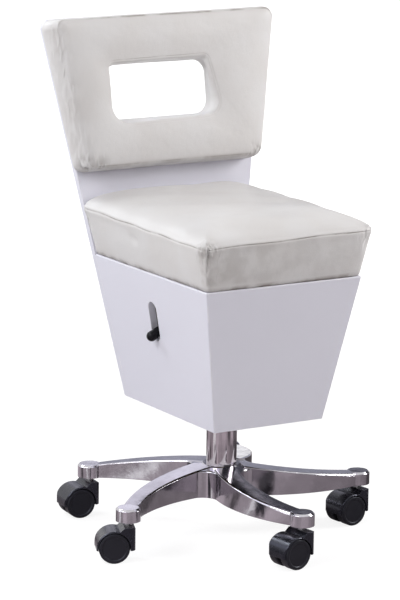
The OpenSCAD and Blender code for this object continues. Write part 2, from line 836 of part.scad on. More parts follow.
// What the base's pieces reach below its underside, before one cut trims them
spare = 6;
boss_r = tube_d / 2 + 9;
// Legs start where neighbours no longer overlap, inside the hub's boss
leg_root = 30;
convex_p = [0, -leg_w_hub / 2];
convex_q = [leg_reach, -leg_w_pod / 2];
concave_p = [0, leg_w_hub / 2];
concave_q = [leg_reach, leg_w_pod / 2];
convex_r = arc_radius(norm(convex_q - convex_p), leg_bow);
concave_r = arc_radius(norm(concave_q - concave_p), leg_bow);
convex_c = arc_centre(convex_p, convex_q, convex_r);
concave_c = arc_centre(concave_p, concave_q, concave_r);
// The web that fills the corner between a leg and the next one, round a circle that
// touches the concave side of the first and the convex side of the second
leg_step = 360 / len(LEGS);
next_convex_c = turned(convex_c, leg_step);
web_c = circles_meet(concave_c, concave_r - web_r, next_convex_c, convex_r + web_r);
web_touch = concave_c + unit(web_c - concave_c) * concave_r;
web_touch_next = next_convex_c + unit(web_c - next_convex_c) * convex_r;

function leg_turn(i) = base_turn + leg_step * i - 90;

// What lies under a disc whose top edge is rounded off; its top is at z = 0
module under_rounded_disc(r, edge) {
    rotate_extrude($fn = arc_fn) {
        translate([0, -edge]) square([r - edge, edge]);
        translate([0, -leg_depth]) square([r + leg_depth, leg_depth - edge]);
        translate([r - edge, -edge]) intersection() {
            circle(edge, $fn = 48);
            square(edge);
        }
    }
}
// Cutter that rounds off the top edge of the hole that a cylinder leaves
module rim_rounder(r, edge) {
    rotate_extrude($fn = arc_fn) {
        translate([0, -edge]) square([r, 4 * edge]);
        difference() {
            translate([r - 1, -edge]) square([edge + 1, 4 * edge]);
            translate([r + edge, -edge]) circle(edge, $fn = 48);
        }
    }
}
// Lays children on the plane that a leg's top falls along
module on_leg_top(drop) {
    translate([0, 0, leg_axis_z - drop]) rotate([0, leg_fall, 0]) children();
}
// The stretch of a leg's plan from x0 to x1, drawn in by inset, as an upright block
module leg_block(x0, x1, inset) {
    difference() {
        intersection() {
            translate([convex_c.x, convex_c.y, base_z - spare])
                cylinder(r = convex_r - inset, h = leg_depth, $fn = arc_fn);
            translate([x0, -leg_reach / 2, base_z - spare - 1]) cube([x1 - x0, leg_reach, leg_depth]);
        }
        translate([concave_c.x, concave_c.y, base_z - spare - 2])
            cylinder(r = concave_r + inset, h = leg_depth + 4, $fn = arc_fn);
    }
}
// Hollows under a leg, with cross ribs between them
module pockets() {
    count = 3;
    skin_t = 5;
    rib_t = 3;
    from = boss_r + 12;
    length = leg_reach - pod_d / 2 - 3 - from;
    pocket_l = (length - rib_t * (count - 1)) / count;
    intersection() {
        for (k = [0:count - 1]) let (x = from + k * (pocket_l + rib_t))
            translate([0, 0, -2]) leg_block(x, x + pocket_l, cast_wall);
        on_leg_top(skin_t) translate([-leg_reach, -leg_reach, -leg_depth])
            cube([3 * leg_reach, 2 * leg_reach, leg_depth]);
    }
}
module leg() {
    difference() {
        intersection() {
            leg_block(leg_root, leg_reach, 0);
            on_leg_top(0) translate(convex_c) under_rounded_disc(convex_r + edge_slack, edge_r);
        }
        on_leg_top(0) translate(concave_c) rim_rounder(concave_r - edge_slack, edge_r);
        pockets();
    }
}
// The plate that joins the legs at the hub, with a fillet between each two
module hub_plate() {
    // A little under the legs' tops, so that each leg keeps its own edge
    cone_top = leg_axis_z - 1;
    plan = [for (i = [0:len(LEGS) - 1]) each [
        turned(web_touch, leg_step * i), turned(web_c, leg_step * i),
        turned(web_touch_next, leg_step * i)]];
    difference() {
        intersection() {
            rotate([0, 0, leg_turn(0)]) translate([0, 0, base_z - spare])
                linear_extrude(leg_depth) polygon(plan);
            cylinder(r1 = cone_top / tan(leg_fall), r2 = 0, h = cone_top, $fn = arc_fn);
        }
        at_legs() {
            translate([web_c.x, web_c.y, base_z - spare - 1])
                cylinder(r = web_r + web_bite, h = leg_depth + 2, $fn = arc_fn);
            rotate([0, 0, atan2(web_c.y, web_c.x)]) on_leg_top(1) translate([norm(web_c), 0, 0])
                rim_rounder(web_r - edge_slack, edge_r);
        }
    }
}
module pod() {
    bevel = 3;
    rotate_extrude() polygon([
        [0, base_z - spare], [pod_d / 2, base_z - spare], [pod_d / 2, pod_top_z - bevel],
        [pod_d / 2 - bevel, pod_top_z], [0, pod_top_z]
    ]);
}
module at_legs() {
    for (i = [0:len(LEGS) - 1]) rotate([0, 0, leg_turn(i)]) children();
}
module star_base() {
    rim = 3;
    stem_depth = pod_h - 2.5;
    taper = (tube_d - tube_foot_d) / hub_h;
    color("lightsteelblue") difference() {
        union() {
            at_legs() leg();
            hub_plate();
            translate([0, 0, base_z - spare]) cylinder(r = boss_r, h = hub_h + spare - rim);
            translate([0, 0, hub_top_z - rim]) cylinder(r1 = boss_r, r2 = boss_r - rim, h = rim);
            at_legs() translate([leg_reach, 0, 0]) pod();
        }
        // The seat for the stand tube, and room for the tube above it
        translate([0, 0, base_z - spare - 1])
            cylinder(d1 = tube_foot_d - taper * (spare + 1), d2 = tube_d, h = hub_h + spare + 1);
        translate([0, 0, hub_top_z]) cylinder(r = boss_r - rim, h = hub_h);
        at_legs() translate([leg_reach, 0, base_z - spare - 1])
            cylinder(d = stem_d + 2 * running, h = stem_depth + spare + 1);
        // One cut for the whole underside
        translate([-2 * leg_reach, -2 * leg_reach, base_z - 2 * spare])
            cube([4 * leg_reach, 4 * leg_reach, 2 * spare]);
    }
}

// ---- casters ---------------------------------------------------------------------

// Drawn round the swivel axis, with the wheels trailing towards +X
wheel_r = wheel_d / 2;
wheel_gap = 0.6;
fender_gap = 1;
fender_t = 2.5;
web_t = 9;
fender_r = wheel_r + fender_gap + fender_t;
hood_w = web_t + 2 * (wheel_gap + wheel_w) + 1;
hood_top_z = base_z - 6.5;
hood_heel = 10;
collar_d = 13;

module at_caster(i) {
    rotate([0, 0, leg_turn(i)]) translate([leg_reach, 0, 0])
        rotate([0, 0, caster_heading[i] - leg_turn(i)]) children();
}
module at_axle() {
    translate([caster_trail, 0, wheel_r]) rotate([90, 0, 0]) children();
}
// Twin-wheel hood: a fender over both wheels, a web between them and a heel that
// carries the stem
module caster_hood() {
    tail = caster_trail + fender_r;
    lip_z = wheel_r - 4;
    color("#26262c") difference() {
        intersection() {
            union() {
                at_axle() translate([0, 0, -hood_w / 2]) fender_disc();
                rotate([90, 0, 0]) linear_extrude(hood_w, center = true)
                    polygon([[-hood_heel, lip_z], [-hood_heel, hood_top_z - 2.5],
                             [-hood_heel + 2.5, hood_top_z], [hood_heel - 2, hood_top_z],
                             [caster_trail * 0.62, wheel_r + fender_r - 1.2],
                             [caster_trail, wheel_r + fender_r - 2], [caster_trail, lip_z]]);
            }
            translate([(tail - hood_heel) / 2, 0, 0]) linear_extrude(base_z)
                rounded_rect(tail + hood_heel, hood_w, 9);
            union() {
                translate([-span, -span, lip_z]) cube(2 * span);
                at_axle() cylinder(r = 9, h = web_t, center = true);
            }
        }
        for (y = [-1, 1]) translate([0, y * (web_t + hood_w) / 2, 0])
            at_axle() cylinder(r = wheel_r + fender_gap, h = hood_w, center = true);
        at_axle() cylinder(d = axle_d, h = web_t + 2, center = true);
        translate([0, 0, hood_top_z - stem_spigot_l]) cylinder(d = stem_spigot_d, h = stem_spigot_l + 1);
    }
}
// The fender's full round, with softened edges
module fender_disc() {
    soft = 2.5;
    rotate_extrude() {
        translate([0, soft]) square([fender_r, hood_w - 2 * soft]);
        square([fender_r - soft, hood_w]);
        for (z = [soft, hood_w - soft]) translate([fender_r - soft, z]) circle(soft, $fn = 32);
    }
}
stem_spigot_d = 8;
stem_spigot_l = 13;
module caster_stem() {
    top_z = base_z + pod_h - 4;
    ring_z = top_z - 6;
    color("silver") difference() {
        union() {
            translate([0, 0, hood_top_z - stem_spigot_l]) cylinder(d = stem_spigot_d, h = stem_spigot_l);
            translate([0, 0, hood_top_z]) cylinder(d = collar_d, h = base_z - seam_gap - hood_top_z);
            translate([0, 0, base_z - seam_gap]) cylinder(d = stem_d, h = top_z - base_z - 1);
            translate([0, 0, top_z - 1 - seam_gap]) cylinder(d1 = stem_d, d2 = stem_d - 2, h = 1);
        }
        tube(ring_z, ring_z + 2, stem_d + 2, stem_d - 2);
    }
}
axle_l = web_t + 2 * (wheel_gap + wheel_w - 4);
module caster_axle() {
    color("silver") at_axle() cylinder(d = axle_d, h = axle_l, center = true);
}
// One wheel, from its inner face at z = 0 to its outer face
module wheel() {
    soft = 2.5;
    rim_in = wheel_r - 5;
    dish = 1.2;
    color("#1c1c20") difference() {
        rotate_extrude() {
            translate([0, soft]) square([wheel_r, wheel_w - 2 * soft]);
            square([wheel_r - soft, wheel_w]);
            for (z = [soft, wheel_w - soft]) translate([wheel_r - soft, z]) circle(soft, $fn = 32);
        }
        translate([0, 0, -1]) cylinder(d = axle_d + 2 * running, h = wheel_w - 4 + 1.5);
        translate([0, 0, wheel_w - dish]) cylinder(r1 = rim_in - dish, r2 = rim_in, h = dish + 0.01);
        tube(-1, wheel_w / 2, 2 * rim_in, 18);
    }
}
module caster_wheel(side) {
    translate([caster_trail, side * (web_t / 2 + wheel_gap), wheel_r]) rotate([-side * 90, 0, 0]) wheel();
}

star_base();
stand_tube();
guide_bush();
thrust_race_lower();
thrust_balls();
thrust_race_upper();
piston_rod();
piston();
rod_clip();
gas_cylinder();
cylinder_seal();
valve_body();
valve_pin();
taper_socket();
lever_bracket();
pivot_pin();
lever_rod();
lever_grip();
seat_plate();
plate_bolts();
plate_nuts();
seat_shelf();
shelf_cleats();
corner_blocks();
left_panel();
right_panel();
front_panel();
back_board();
seat_cushion_board();
seat_screws();
seat_cushion();
back_cushion_board();
back_bolts();
back_cushion();
for (i = [0:len(LEGS) - 1]) {
    at_caster(i) caster_hood();
    at_caster(i) caster_stem();
    at_caster(i) caster_axle();
    at_caster(i) caster_wheel(1);
    at_caster(i) caster_wheel(-1);
}
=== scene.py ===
"""Upholstery, finishes and studio for a pedicure technician's chair, fitted to its frame."""

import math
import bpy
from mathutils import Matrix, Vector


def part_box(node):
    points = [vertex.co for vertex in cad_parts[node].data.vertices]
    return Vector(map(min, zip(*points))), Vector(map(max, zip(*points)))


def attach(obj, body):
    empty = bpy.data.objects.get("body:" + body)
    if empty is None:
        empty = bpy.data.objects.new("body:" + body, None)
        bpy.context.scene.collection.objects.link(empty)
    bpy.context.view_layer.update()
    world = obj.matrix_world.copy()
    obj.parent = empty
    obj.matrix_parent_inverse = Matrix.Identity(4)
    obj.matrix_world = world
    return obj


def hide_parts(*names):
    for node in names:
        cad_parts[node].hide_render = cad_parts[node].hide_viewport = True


bl_info = {
    "name": "Pedicure technician's chair",
    "version": (1, 0, 0),
    "blender": (4, 5, 0),
    "location": "View3D > Sidebar > Chair",
    "description": "Upholsters and finishes the chair's frame and sets a studio round it",
    "category": "Object",
}

import bpy
import numpy as np
from mathutils import Matrix, Vector, noise

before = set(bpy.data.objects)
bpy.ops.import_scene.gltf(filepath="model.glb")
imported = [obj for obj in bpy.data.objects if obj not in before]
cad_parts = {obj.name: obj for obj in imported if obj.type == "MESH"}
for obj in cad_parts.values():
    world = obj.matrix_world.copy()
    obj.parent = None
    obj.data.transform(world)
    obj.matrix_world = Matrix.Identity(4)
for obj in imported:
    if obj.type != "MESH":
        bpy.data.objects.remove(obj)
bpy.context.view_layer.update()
PANEL_LOW, PANEL_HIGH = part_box("left_panel")
SEAT_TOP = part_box("seat_cushion")[1].z
SEAT_SIDES = 0.073
LENGTH = {"subtype": "DISTANCE", "unit": "LENGTH", "min": 0.0, "precision": 4}
ANGLE = {"subtype": "ANGLE", "unit": "ROTATION"}
COLOUR = {"subtype": "COLOR", "size": 3, "min": 0.0, "max": 1.0}
STRENGTH = {"min": 0.0}
POWER = {"subtype": "POWER", "unit": "POWER", "min": 0.0}


# ---- what a user would change ----


def prop(kind, name, description, default):
    """A property of a kind: LENGTH, ANGLE, COLOUR, STRENGTH or POWER."""
    make = bpy.props.FloatVectorProperty if kind is COLOUR else bpy.props.FloatProperty
    return make(name=name, description=description, default=default, **kind)


class ChairBox(bpy.types.PropertyGroup):
    """The tapered box that the pads sit on and lean against."""

    foot: prop(LENGTH, "Lower edge", "Height of the box's lower edge above the floor",
               PANEL_LOW.z)
    rim: prop(LENGTH, "Rim", "Height of the box's rim above the floor", PANEL_HIGH.z)
    half_width: prop(LENGTH, "Half width", "Half the box's width at its lower edge", 0.102)
    front: prop(LENGTH, "Front", "From the swivel axis to the front at the lower edge", 0.145)
    rear: prop(LENGTH, "Rear", "From the swivel axis to the rear at the lower edge", 0.143)
    board: prop(LENGTH, "Board", "Thickness of the lacquered boards", 0.012)
    side_lean: prop(ANGLE, "Side lean", "Outward lean of the sides", math.radians(10.1))
    front_lean: prop(ANGLE, "Front lean", "Outward lean of the front", math.radians(9.9))
    back_lean: prop(ANGLE, "Back lean", "Backward lean of the back board", math.radians(9.2))


class SeatPad(bpy.types.PropertyGroup):
    """The seat pad."""

    height: prop(LENGTH, "Sides", "Height of the pad's sides up to their seam", SEAT_SIDES)
    crown: prop(LENGTH, "Crown", "Rise of the top above the seam",
                SEAT_TOP - PANEL_HIGH.z - SEAT_SIDES)
    corner: prop(LENGTH, "Front corners", "Radius of the pad's front corners", 0.010)
    rear_corner: prop(LENGTH, "Rear corners", "Radius of the pad's rear corners", 0.005)
    swell: prop(LENGTH, "Swell", "How far the foam may push the cover out", 0.0035)


class BackPad(bpy.types.PropertyGroup):
    """The back pad."""

    length: prop(LENGTH, "Board length", "Length of the back board along its slope", 0.627)
    height: prop(LENGTH, "Height", "Height of the pad along the slope", 0.253)
    slant: prop(LENGTH, "Slant", "How much higher the pad's lower edge is in front than behind",
                0.006)
    thickness: prop(LENGTH, "Thickness", "Thickness of the pad at its seam", 0.037)
    corner: prop(LENGTH, "Corner radius", "Radius of the pad's corners", 0.016)
    swell: prop(LENGTH, "Swell", "How far the foam may push the cover out", 0.0035)


class Finishes(bpy.types.PropertyGroup):
    """Colours of the chair's finishes."""

    vinyl: prop(COLOUR, "Vinyl", "Colour of the seat and back covers", (0.735, 0.722, 0.714))
    lacquer: prop(COLOUR, "Lacquer", "Colour of the lacquered boards", (0.80, 0.795, 0.875))
    aluminium: prop(COLOUR, "Aluminium", "Colour of the polished casting", (0.60, 0.58, 0.62))
    chrome: prop(COLOUR, "Chrome", "Colour of the stand tube", (0.58, 0.54, 0.57))
    steel: prop(COLOUR, "Steel", "Colour of the lever, bolts and pins", (0.56, 0.55, 0.57))
    caster: prop(COLOUR, "Casters", "Colour of the caster hoods and wheels",
                 (0.010, 0.010, 0.014))


class Studio(bpy.types.PropertyGroup):
    """The studio's lights."""

    daylight: prop(STRENGTH, "Daylight", "Strength of the even light from all round", 0.20)
    key: prop(POWER, "Key", "Power of the large lamp above and left of the chair", 49.0)
    rear: prop(POWER, "Rear", "Power of the lamp above and behind the chair", 31.0)
    fill: prop(POWER, "Fill", "Power of the lamp in front and right of the chair", 41.0)


# ---- shader parts ----


def feed(node, inputs):
    """Gives a node its inputs: a socket is linked, and anything else is its value."""
    for name, value in inputs.items():
        socket = node.inputs[name]
        if isinstance(value, bpy.types.NodeSocket):
            node.id_data.links.new(value, socket)
        else:
            socket.default_value = value
    return node


def set_all(item, **settings):
    for name, value in settings.items():
        setattr(item, name, value)


def new_node(tree, kind, inputs=None, **settings):
    """A new shader node with its settings and inputs."""
    node = tree.nodes.new("ShaderNode" + kind)
    set_all(node, **settings)
    return feed(node, inputs or {})


def sum_of(tree, operation, first, second):
    """The result of a sum of two numbers or sockets."""
    return new_node(tree, "Math", {0: first, 1: second}, operation=operation).outputs[0]


def vector_sum(tree, operation, *parts):
    """The outputs of a sum of vectors."""
    return new_node(tree, "VectorMath", dict(enumerate(parts)), operation=operation).outputs


def ramp(tree, value, low, high, to_low=0.0, to_high=1.0):
    """A value spread from low..high to to_low..to_high, smoothly and clamped."""
    span = {"Value": value, "From Min": low, "From Max": high, "To Min": to_low, "To Max": to_high}
    return new_node(tree, "MapRange", span, interpolation_type="SMOOTHSTEP").outputs["Result"]


def mixed(tree, share, first, second):
    """A colour between two."""
    return new_node(tree, "Mix", {0: share, 6: first, 7: second}, data_type="RGBA").outputs[2]


def on_piece(tree, kind="Object"):
    """Where a spot lies on its piece, or how it faces there with the kind Normal."""
    return new_node(tree, "TexCoord").outputs[kind]


def facing(tree):
    return new_node(tree, "NewGeometry").outputs["Normal"]


def height_in(tree, vector):
    return new_node(tree, "SeparateXYZ", {0: vector}).outputs["Z"]


def speckle(tree, size, detail=2.0, stretch=(1, 1, 1)):
    """Noise whose lumps are about size metres across, fixed to the piece."""
    place = on_piece(tree)
    if stretch != (1, 1, 1):
        place = new_node(tree, "Mapping", {"Vector": place, "Scale": stretch}).outputs[0]
    scale = sum_of(tree, "DIVIDE", 1.0, size)
    return new_node(tree, "TexNoise", {
        "Vector": place, "Scale": scale, "Detail": detail}).outputs[0]


def marked(tree, name):
    """How strongly the maker marked the mesh there."""
    return new_node(tree, "Attribute", attribute_name=name).outputs["Fac"]


def rounded(tree, radius):
    """The normal as it would be with rounded edges."""
    return new_node(tree, "Bevel", {"Radius": radius}, samples=6).outputs[0]


def bumped(tree, height, distance, normal, invert=False):
    """A normal with a height raised on it, or sunk into it where inverted."""
    inputs = {"Height": height, "Distance": distance, "Normal": normal}
    return new_node(tree, "Bump", inputs, invert=invert).outputs[0]


def spaced(sockets):
    """Sockets by their labels, from keywords that have underscores for spaces."""
    return {label.replace("_", " "): value for label, value in sockets.items()}


def start_group(name, result, kind="Float", **inputs):
    """A new shader group with one result: gives its tree, its inputs and its end."""
    tree = bpy.data.node_groups.new(name, "ShaderNodeTree")
    for label, value in spaced(inputs).items():
        socket = "NodeSocketColor" if hasattr(value, "__len__") else "NodeSocketFloat"
        tree.interface.new_socket(label, in_out="INPUT", socket_type=socket).default_value = value
    tree.interface.new_socket(result, in_out="OUTPUT", socket_type="NodeSocket" + kind)
    return tree, tree.nodes.new("NodeGroupInput").outputs, tree.nodes.new("NodeGroupOutput")


def use_group(material, name, **inputs):
    """Places a shader group in a material and gives its result."""
    return new_node(material.node_tree, "Group", spaced(inputs),
                    node_tree=bpy.data.node_groups[name]).outputs[0]


def build_groups():
    """The effects that several finishes share."""
    tree, given, out = start_group(
        "Eased edges and grain", "Normal", "Vector", Edge=0.001, Grain_Size=0.001,
        Grain_Depth=0.00002, Wave_Size=0.03, Wave_Depth=0.0001)
    wave = bumped(tree, speckle(tree, given["Wave Size"]), given["Wave Depth"],
                  rounded(tree, given["Edge"]))
    grain = speckle(tree, given["Grain Size"])
    feed(out, {0: bumped(tree, grain, given["Grain Depth"], wave)})

    # a mask of the edges in broken patches, which the finishes paint lighter: a painted highlight
    # on lacquer and metal
    tree, given, out = start_group("Edge highlight and wear", "Mask", Width=0.002, Breaks=0.006)
    dot = vector_sum(tree, "DOT_PRODUCT", rounded(tree, given["Width"]), facing(tree))
    edges = ramp(tree, dot["Value"], 0.995, 0.90)
    breaks = ramp(tree, speckle(tree, given["Breaks"], 4.0), 0.38, 0.62)
    feed(out, {0: sum_of(tree, "MULTIPLY", edges, breaks)})

    tree, given, out = start_group("Uneven colour", "Colour", "Color", Colour=(1, 1, 1, 1),
                                   Second_Colour=(0.9, 0.9, 0.9, 1), Size=0.05)
    patches = ramp(tree, speckle(tree, given["Size"], 3.0), 0.35, 0.65)
    feed(out, {0: mixed(tree, patches, given["Colour"], given["Second Colour"])})

    tree, given, out = start_group(
        "Handled gloss", "Roughness", Clean=0.2, Smudged=0.35, Size=0.04)
    smudge = ramp(tree, speckle(tree, given["Size"], 4.0), 0.40, 0.70)
    span = sum_of(tree, "SUBTRACT", given["Smudged"], given["Clean"])
    rise = sum_of(tree, "MULTIPLY", smudge, span)
    feed(out, {0: sum_of(tree, "ADD", given["Clean"], rise)})

    tree, given, out = start_group("Settled dust", "Mask", Amount=0.3, Size=0.004)
    flat = ramp(tree, height_in(tree, facing(tree)), 0.5, 1.0)
    specks = ramp(tree, speckle(tree, given["Size"], 5.0), 0.40, 0.70)
    lying = sum_of(tree, "MULTIPLY", flat, specks)
    feed(out, {0: sum_of(tree, "MULTIPLY", lying, given["Amount"])})


def rgba(colour, factor=1.0):
    return tuple(min(1.0, c * factor) for c in colour) + (1.0,)


def start_finish(name, **sockets):
    """A new material and its tree, with the shader's constants set."""
    material = bpy.data.materials.new(name)
    material.use_nodes = True
    return coat(material, **sockets), material.node_tree


def coat(material, **sockets):
    """Gives a material's shader its inputs."""
    feed(material.node_tree.nodes["Principled BSDF"], spaced(sockets))
    return material


def uneven(material, first, second, size):
    """A colour that drifts to a second one in patches."""
    return use_group(material, "Uneven colour", Colour=first, Second_Colour=second, Size=size)


def highlit_and_worn(material, colour, edge_colour, width, breaks):
    """A colour that gives way to a lighter one along the edges, in broken patches: painted
    highlights on lacquer and metal, lighter edges on plastic.
    """
    mask = use_group(material, "Edge highlight and wear", Width=width, Breaks=breaks)
    return mixed(material.node_tree, mask, colour, edge_colour)


def gloss(material, clean, smudged, size):
    return use_group(material, "Handled gloss", Clean=clean, Smudged=smudged, Size=size)


def relief(material, edge, grain, wave):
    """The normal of eased edges, with grain and waves of a size and a depth each."""
    return use_group(material, "Eased edges and grain", Edge=edge, Grain_Size=grain[0],
                     Grain_Depth=grain[1], Wave_Size=wave[0], Wave_Depth=wave[1])


def vinyl_finish(colour):
    """Soft calendered vinyl with a fine pebble grain; painted shade darkens it where the mesh
    marks seams, edges, undersides and pleats.
    """
    material, tree = start_finish(
        "Cream vinyl", Specular_IOR_Level=0.40, Coat_Weight=0.08, Coat_Roughness=0.30)
    red, green, blue = colour
    drift = uneven(material, rgba(colour), rgba((red, green * 0.99, blue * 0.98), 0.965), 0.09)
    # painted shade: the seam mark darkens the cover in its seams, at its edges and underneath,
    # broken up in patches
    shown = ramp(tree, speckle(tree, 0.035, 3.0), 0.36, 0.62, 0.25, 1.0)
    seam = sum_of(tree, "MULTIPLY", marked(tree, "seam"), shown)
    # gathers_and_shade marks short pleats down from a seam, deepest where the cover turns a
    # corner: they are bumped in, and painted darker as painted shade
    pleats = ramp(tree, speckle(tree, 0.008, 1.0, (1, 1, 0.3)), 0.36, 0.60)
    gathers_and_shade = sum_of(tree, "MULTIPLY", marked(tree, "gathers_and_shade"), pleats)
    # painted shade: the darker of the seam and pleat marks mixes the colour towards a dark warm
    # tone
    shade = sum_of(tree, "MAXIMUM", seam, sum_of(tree, "MULTIPLY", gathers_and_shade, 0.6))
    pebbles = {"Vector": on_piece(tree), "Scale": 1100.0, "Smoothness": 0.6}
    cells = new_node(tree, "TexVoronoi", pebbles, feature="SMOOTH_F1").outputs["Distance"]
    folds = relief(material, 0.0, (0.004, 0.00012), (0.028, 0.0009))
    pucker = bumped(tree, gathers_and_shade, 0.0055, folds, invert=True)
    return coat(
        material, Roughness=gloss(material, 0.38, 0.52, 0.05),
        Base_Color=mixed(tree, shade, drift, rgba((red * 0.30, green * 0.26, blue * 0.23))),
        Normal=bumped(tree, cells, 0.00016, pucker, invert=True))


def lacquer_finish(colour, rim):
    """Sprayed white lacquer on board, with a trace of orange peel."""
    material, tree = start_finish(
        "White lacquer", Specular_IOR_Level=0.45, Coat_Weight=0.12, Coat_Roughness=0.25)
    drift = uneven(material, rgba(colour), rgba(colour, 0.994), 0.25)
    # painted highlight: the edges are painted a lighter white
    edged = highlit_and_worn(material, drift, rgba((0.92, 0.91, 0.93)), 0.0020, 0.03)
    # painted shade: the faces that look into the box below its rim are painted near black, for the
    # shade inside the closed box
    place = on_piece(tree)
    level = vector_sum(tree, "MULTIPLY", place, (1.0, 1.0, 0.0))
    inward = vector_sum(tree, "DOT_PRODUCT", level[0], on_piece(tree, "Normal"))
    inside = sum_of(tree, "MULTIPLY", ramp(tree, inward["Value"], -0.05, -0.07),
                    ramp(tree, height_in(tree, place), rim + 0.0004, rim - 0.0004))
    return coat(
        material, Base_Color=mixed(tree, inside, edged, rgba((0.020, 0.019, 0.022))),
        Roughness=gloss(material, 0.40, 0.42, 0.2),
        Normal=relief(material, 0.0011, (0.0016, 0.000008), (0.12, 0.00004)))


def metal_finish(name, colour, clean, smudged, edge, wave):
    """Bare or plated metal: its colour drifts, and its edges are painted lighter as a painted
    highlight.
    """
    material, _ = start_finish(name, Metallic=1.0)
    drift = uneven(material, rgba(colour), rgba(colour, 0.88), 0.03)
    # painted highlight: the edges are painted a quarter lighter
    return coat(material, Base_Color=highlit_and_worn(material, drift, rgba(colour, 1.25), edge * 1.5, 0.01),
                Roughness=gloss(material, clean, smudged, 0.02),
                Normal=relief(material, edge, (0.0008, 0.000004), (0.018, wave)))


def plastic_finish(name, colour, clean, smudged, grain, dust, tint=(1, 1, 1), shine=0.5):
    """Moulded plastic: fine spark texture, lighter edges and a little settled dust."""
    material, tree = start_finish(name, Specular_IOR_Level=shine, Specular_Tint=rgba(tint))
    edged = highlit_and_worn(material, rgba(colour), rgba([c * 2.2 + 0.01 for c in colour]), 0.0012, 0.008)
    settled = use_group(material, "Settled dust", Amount=dust, Size=0.003)
    return coat(material, Base_Color=mixed(tree, settled, edged, rgba((0.20, 0.19, 0.20))),
                Roughness=gloss(material, clean, smudged, 0.012),
                Normal=relief(material, 0.0008, (0.0007, grain), (0.02, 0.00005)))


def plywood_finish():
    """Sanded plywood: drawn-out grain, with plies that show as bands at its edges."""
    material, tree = start_finish("Plywood", Specular_IOR_Level=0.3)
    grain = speckle(tree, 0.012, 6.0, (1.0, 0.12, 1.0))
    layers = {"Vector": on_piece(tree), "Scale": 110.0, "Distortion": 0.6}
    plies = new_node(tree, "TexWave", layers, bands_direction="Z").outputs["Fac"]
    wood = mixed(tree, ramp(tree, grain, 0.35, 0.65), rgba((0.62, 0.43, 0.25)),
                 rgba((0.47, 0.30, 0.16)))
    return coat(
        material, Roughness=ramp(tree, grain, 0.3, 0.7, 0.55, 0.75),
        Base_Color=mixed(tree, ramp(tree, plies, 0.2, 0.8, 0.0, 0.25), wood,
                         rgba((0.33, 0.20, 0.10))),
        Normal=relief(material, 0.0006, (0.002, 0.00006), (0.03, 0.0001)))


def give_finish(slot_name, material):
    """Puts a finish on every CAD node with a material slot of that name."""
    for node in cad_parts.values():
        for slot in node.material_slots:
            if slot.material and slot.material.name.split(".")[0] == slot_name:
                slot.material = material


# ---- forms ----

CORNER_STEPS = 8
SIDE_STEPS = 56
RING = 4 * (CORNER_STEPS + SIDE_STEPS)


def rows(first, count=1):
    """The points of a number of rings of a cover, from one ring on."""
    return slice(first * RING, (first + count) * RING)


def outlined(*corners):
    return [Vector(corner) for corner in corners]


def drawn_in(corners, inset):
    """A four-cornered outline (anticlockwise) with each side moved in by inset."""
    found = []
    for i in range(4):
        here = corners[i]
        before = (here - corners[i - 1]).normalized()
        after = (corners[(i + 1) % 4] - here).normalized()
        in_before, in_after = Vector((-before.y, before.x)), Vector((-after.y, after.x))
        found.append(here + (in_before + in_after) * inset / (1 + in_before.dot(in_after)))
    return found


def graded(share):
    """A share of a side, moved so that points lie closer together near the corners."""
    return share - 0.11 * math.sin(2 * math.pi * share)


def ring(corners, radii):
    """Points round an outline with rounded corners, from the middle of its first corner."""
    arcs = []
    for i in range(4):
        here, radius = corners[i], radii[i]
        back = (corners[i - 1] - here).normalized()
        on = (corners[(i + 1) % 4] - here).normalized()
        half = back.angle(on) / 2
        centre = here + (back + on).normalized() * radius / math.sin(half)
        first = here + back * radius / math.tan(half) - centre
        turn = (math.pi - 2 * half) / CORNER_STEPS
        arcs.append([centre + Matrix.Rotation(turn * k, 2) @ first
                     for k in range(CORNER_STEPS + 1)])
    points = []
    half_arc = CORNER_STEPS // 2
    for arc, following in zip(arcs, arcs[1:] + arcs[:1]):
        side = [arc[-1].lerp(following[0], graded(k / SIDE_STEPS)) for k in range(1, SIDE_STEPS)]
        points += arc[half_arc:] + side + following[:half_arc]
    return np.array(points)


def at_height(points, z):
    return np.column_stack([points, np.full(len(points), z)])


def stacked(rings, closed=False):
    """Vertices and faces of a tube of rings, the last joined to the first where closed."""
    faces = []
    for j in range(len(rings) - (not closed)):
        here, following = j * RING, (j + 1) % len(rings) * RING
        for k in range(RING):
            n = (k + 1) % RING
            faces.append((here + k, here + n, following + n, following + k))
    return np.concatenate(rings), faces


def filled(edge, first, start, upward):
    """Inner points and faces that fill a ring of edge points with a square net of quads.
    first is the ring's first vertex number, and start the first of the new ones."""
    side = RING // 4
    last = first + RING
    number = np.zeros((side + 1, side + 1), int)
    for k in range(side):
        number[k, 0], number[side, k] = first + k, first + side + k
        number[side - k, side], number[0, side - k] = first + 2 * side + k, last - side + k
    inner = []
    run = np.linalg.norm(np.diff(edge[:side + 1], axis=0), axis=1)
    share = np.concatenate([[0.0], np.cumsum(run)]) / run.sum()
    for i in range(1, side):
        for j in range(1, side):
            u, v = share[i], share[j]
            low, high = edge[i], edge[3 * side - i]
            left, right = edge[-j], edge[side + j]
            corners = ((1 - u) * (1 - v) * edge[0] + u * (1 - v) * edge[side]
                       + u * v * edge[2 * side] + (1 - u) * v * edge[3 * side])
            inner.append((1 - v) * low + v * high + (1 - u) * left + u * right - corners)
            number[i, j] = start + len(inner) - 1
    faces = []
    for i in range(side):
        for j in range(side):
            quad = (number[i, j], number[i + 1, j], number[i + 1, j + 1], number[i, j + 1])
            faces.append(tuple(int(n) for n in (quad if upward else quad[::-1])))
    return np.array(inner), faces


def into_scene(name, data):
    """A new object in the scene."""
    item = bpy.data.objects.new(name, data)
    bpy.context.scene.collection.objects.link(item)
    return item


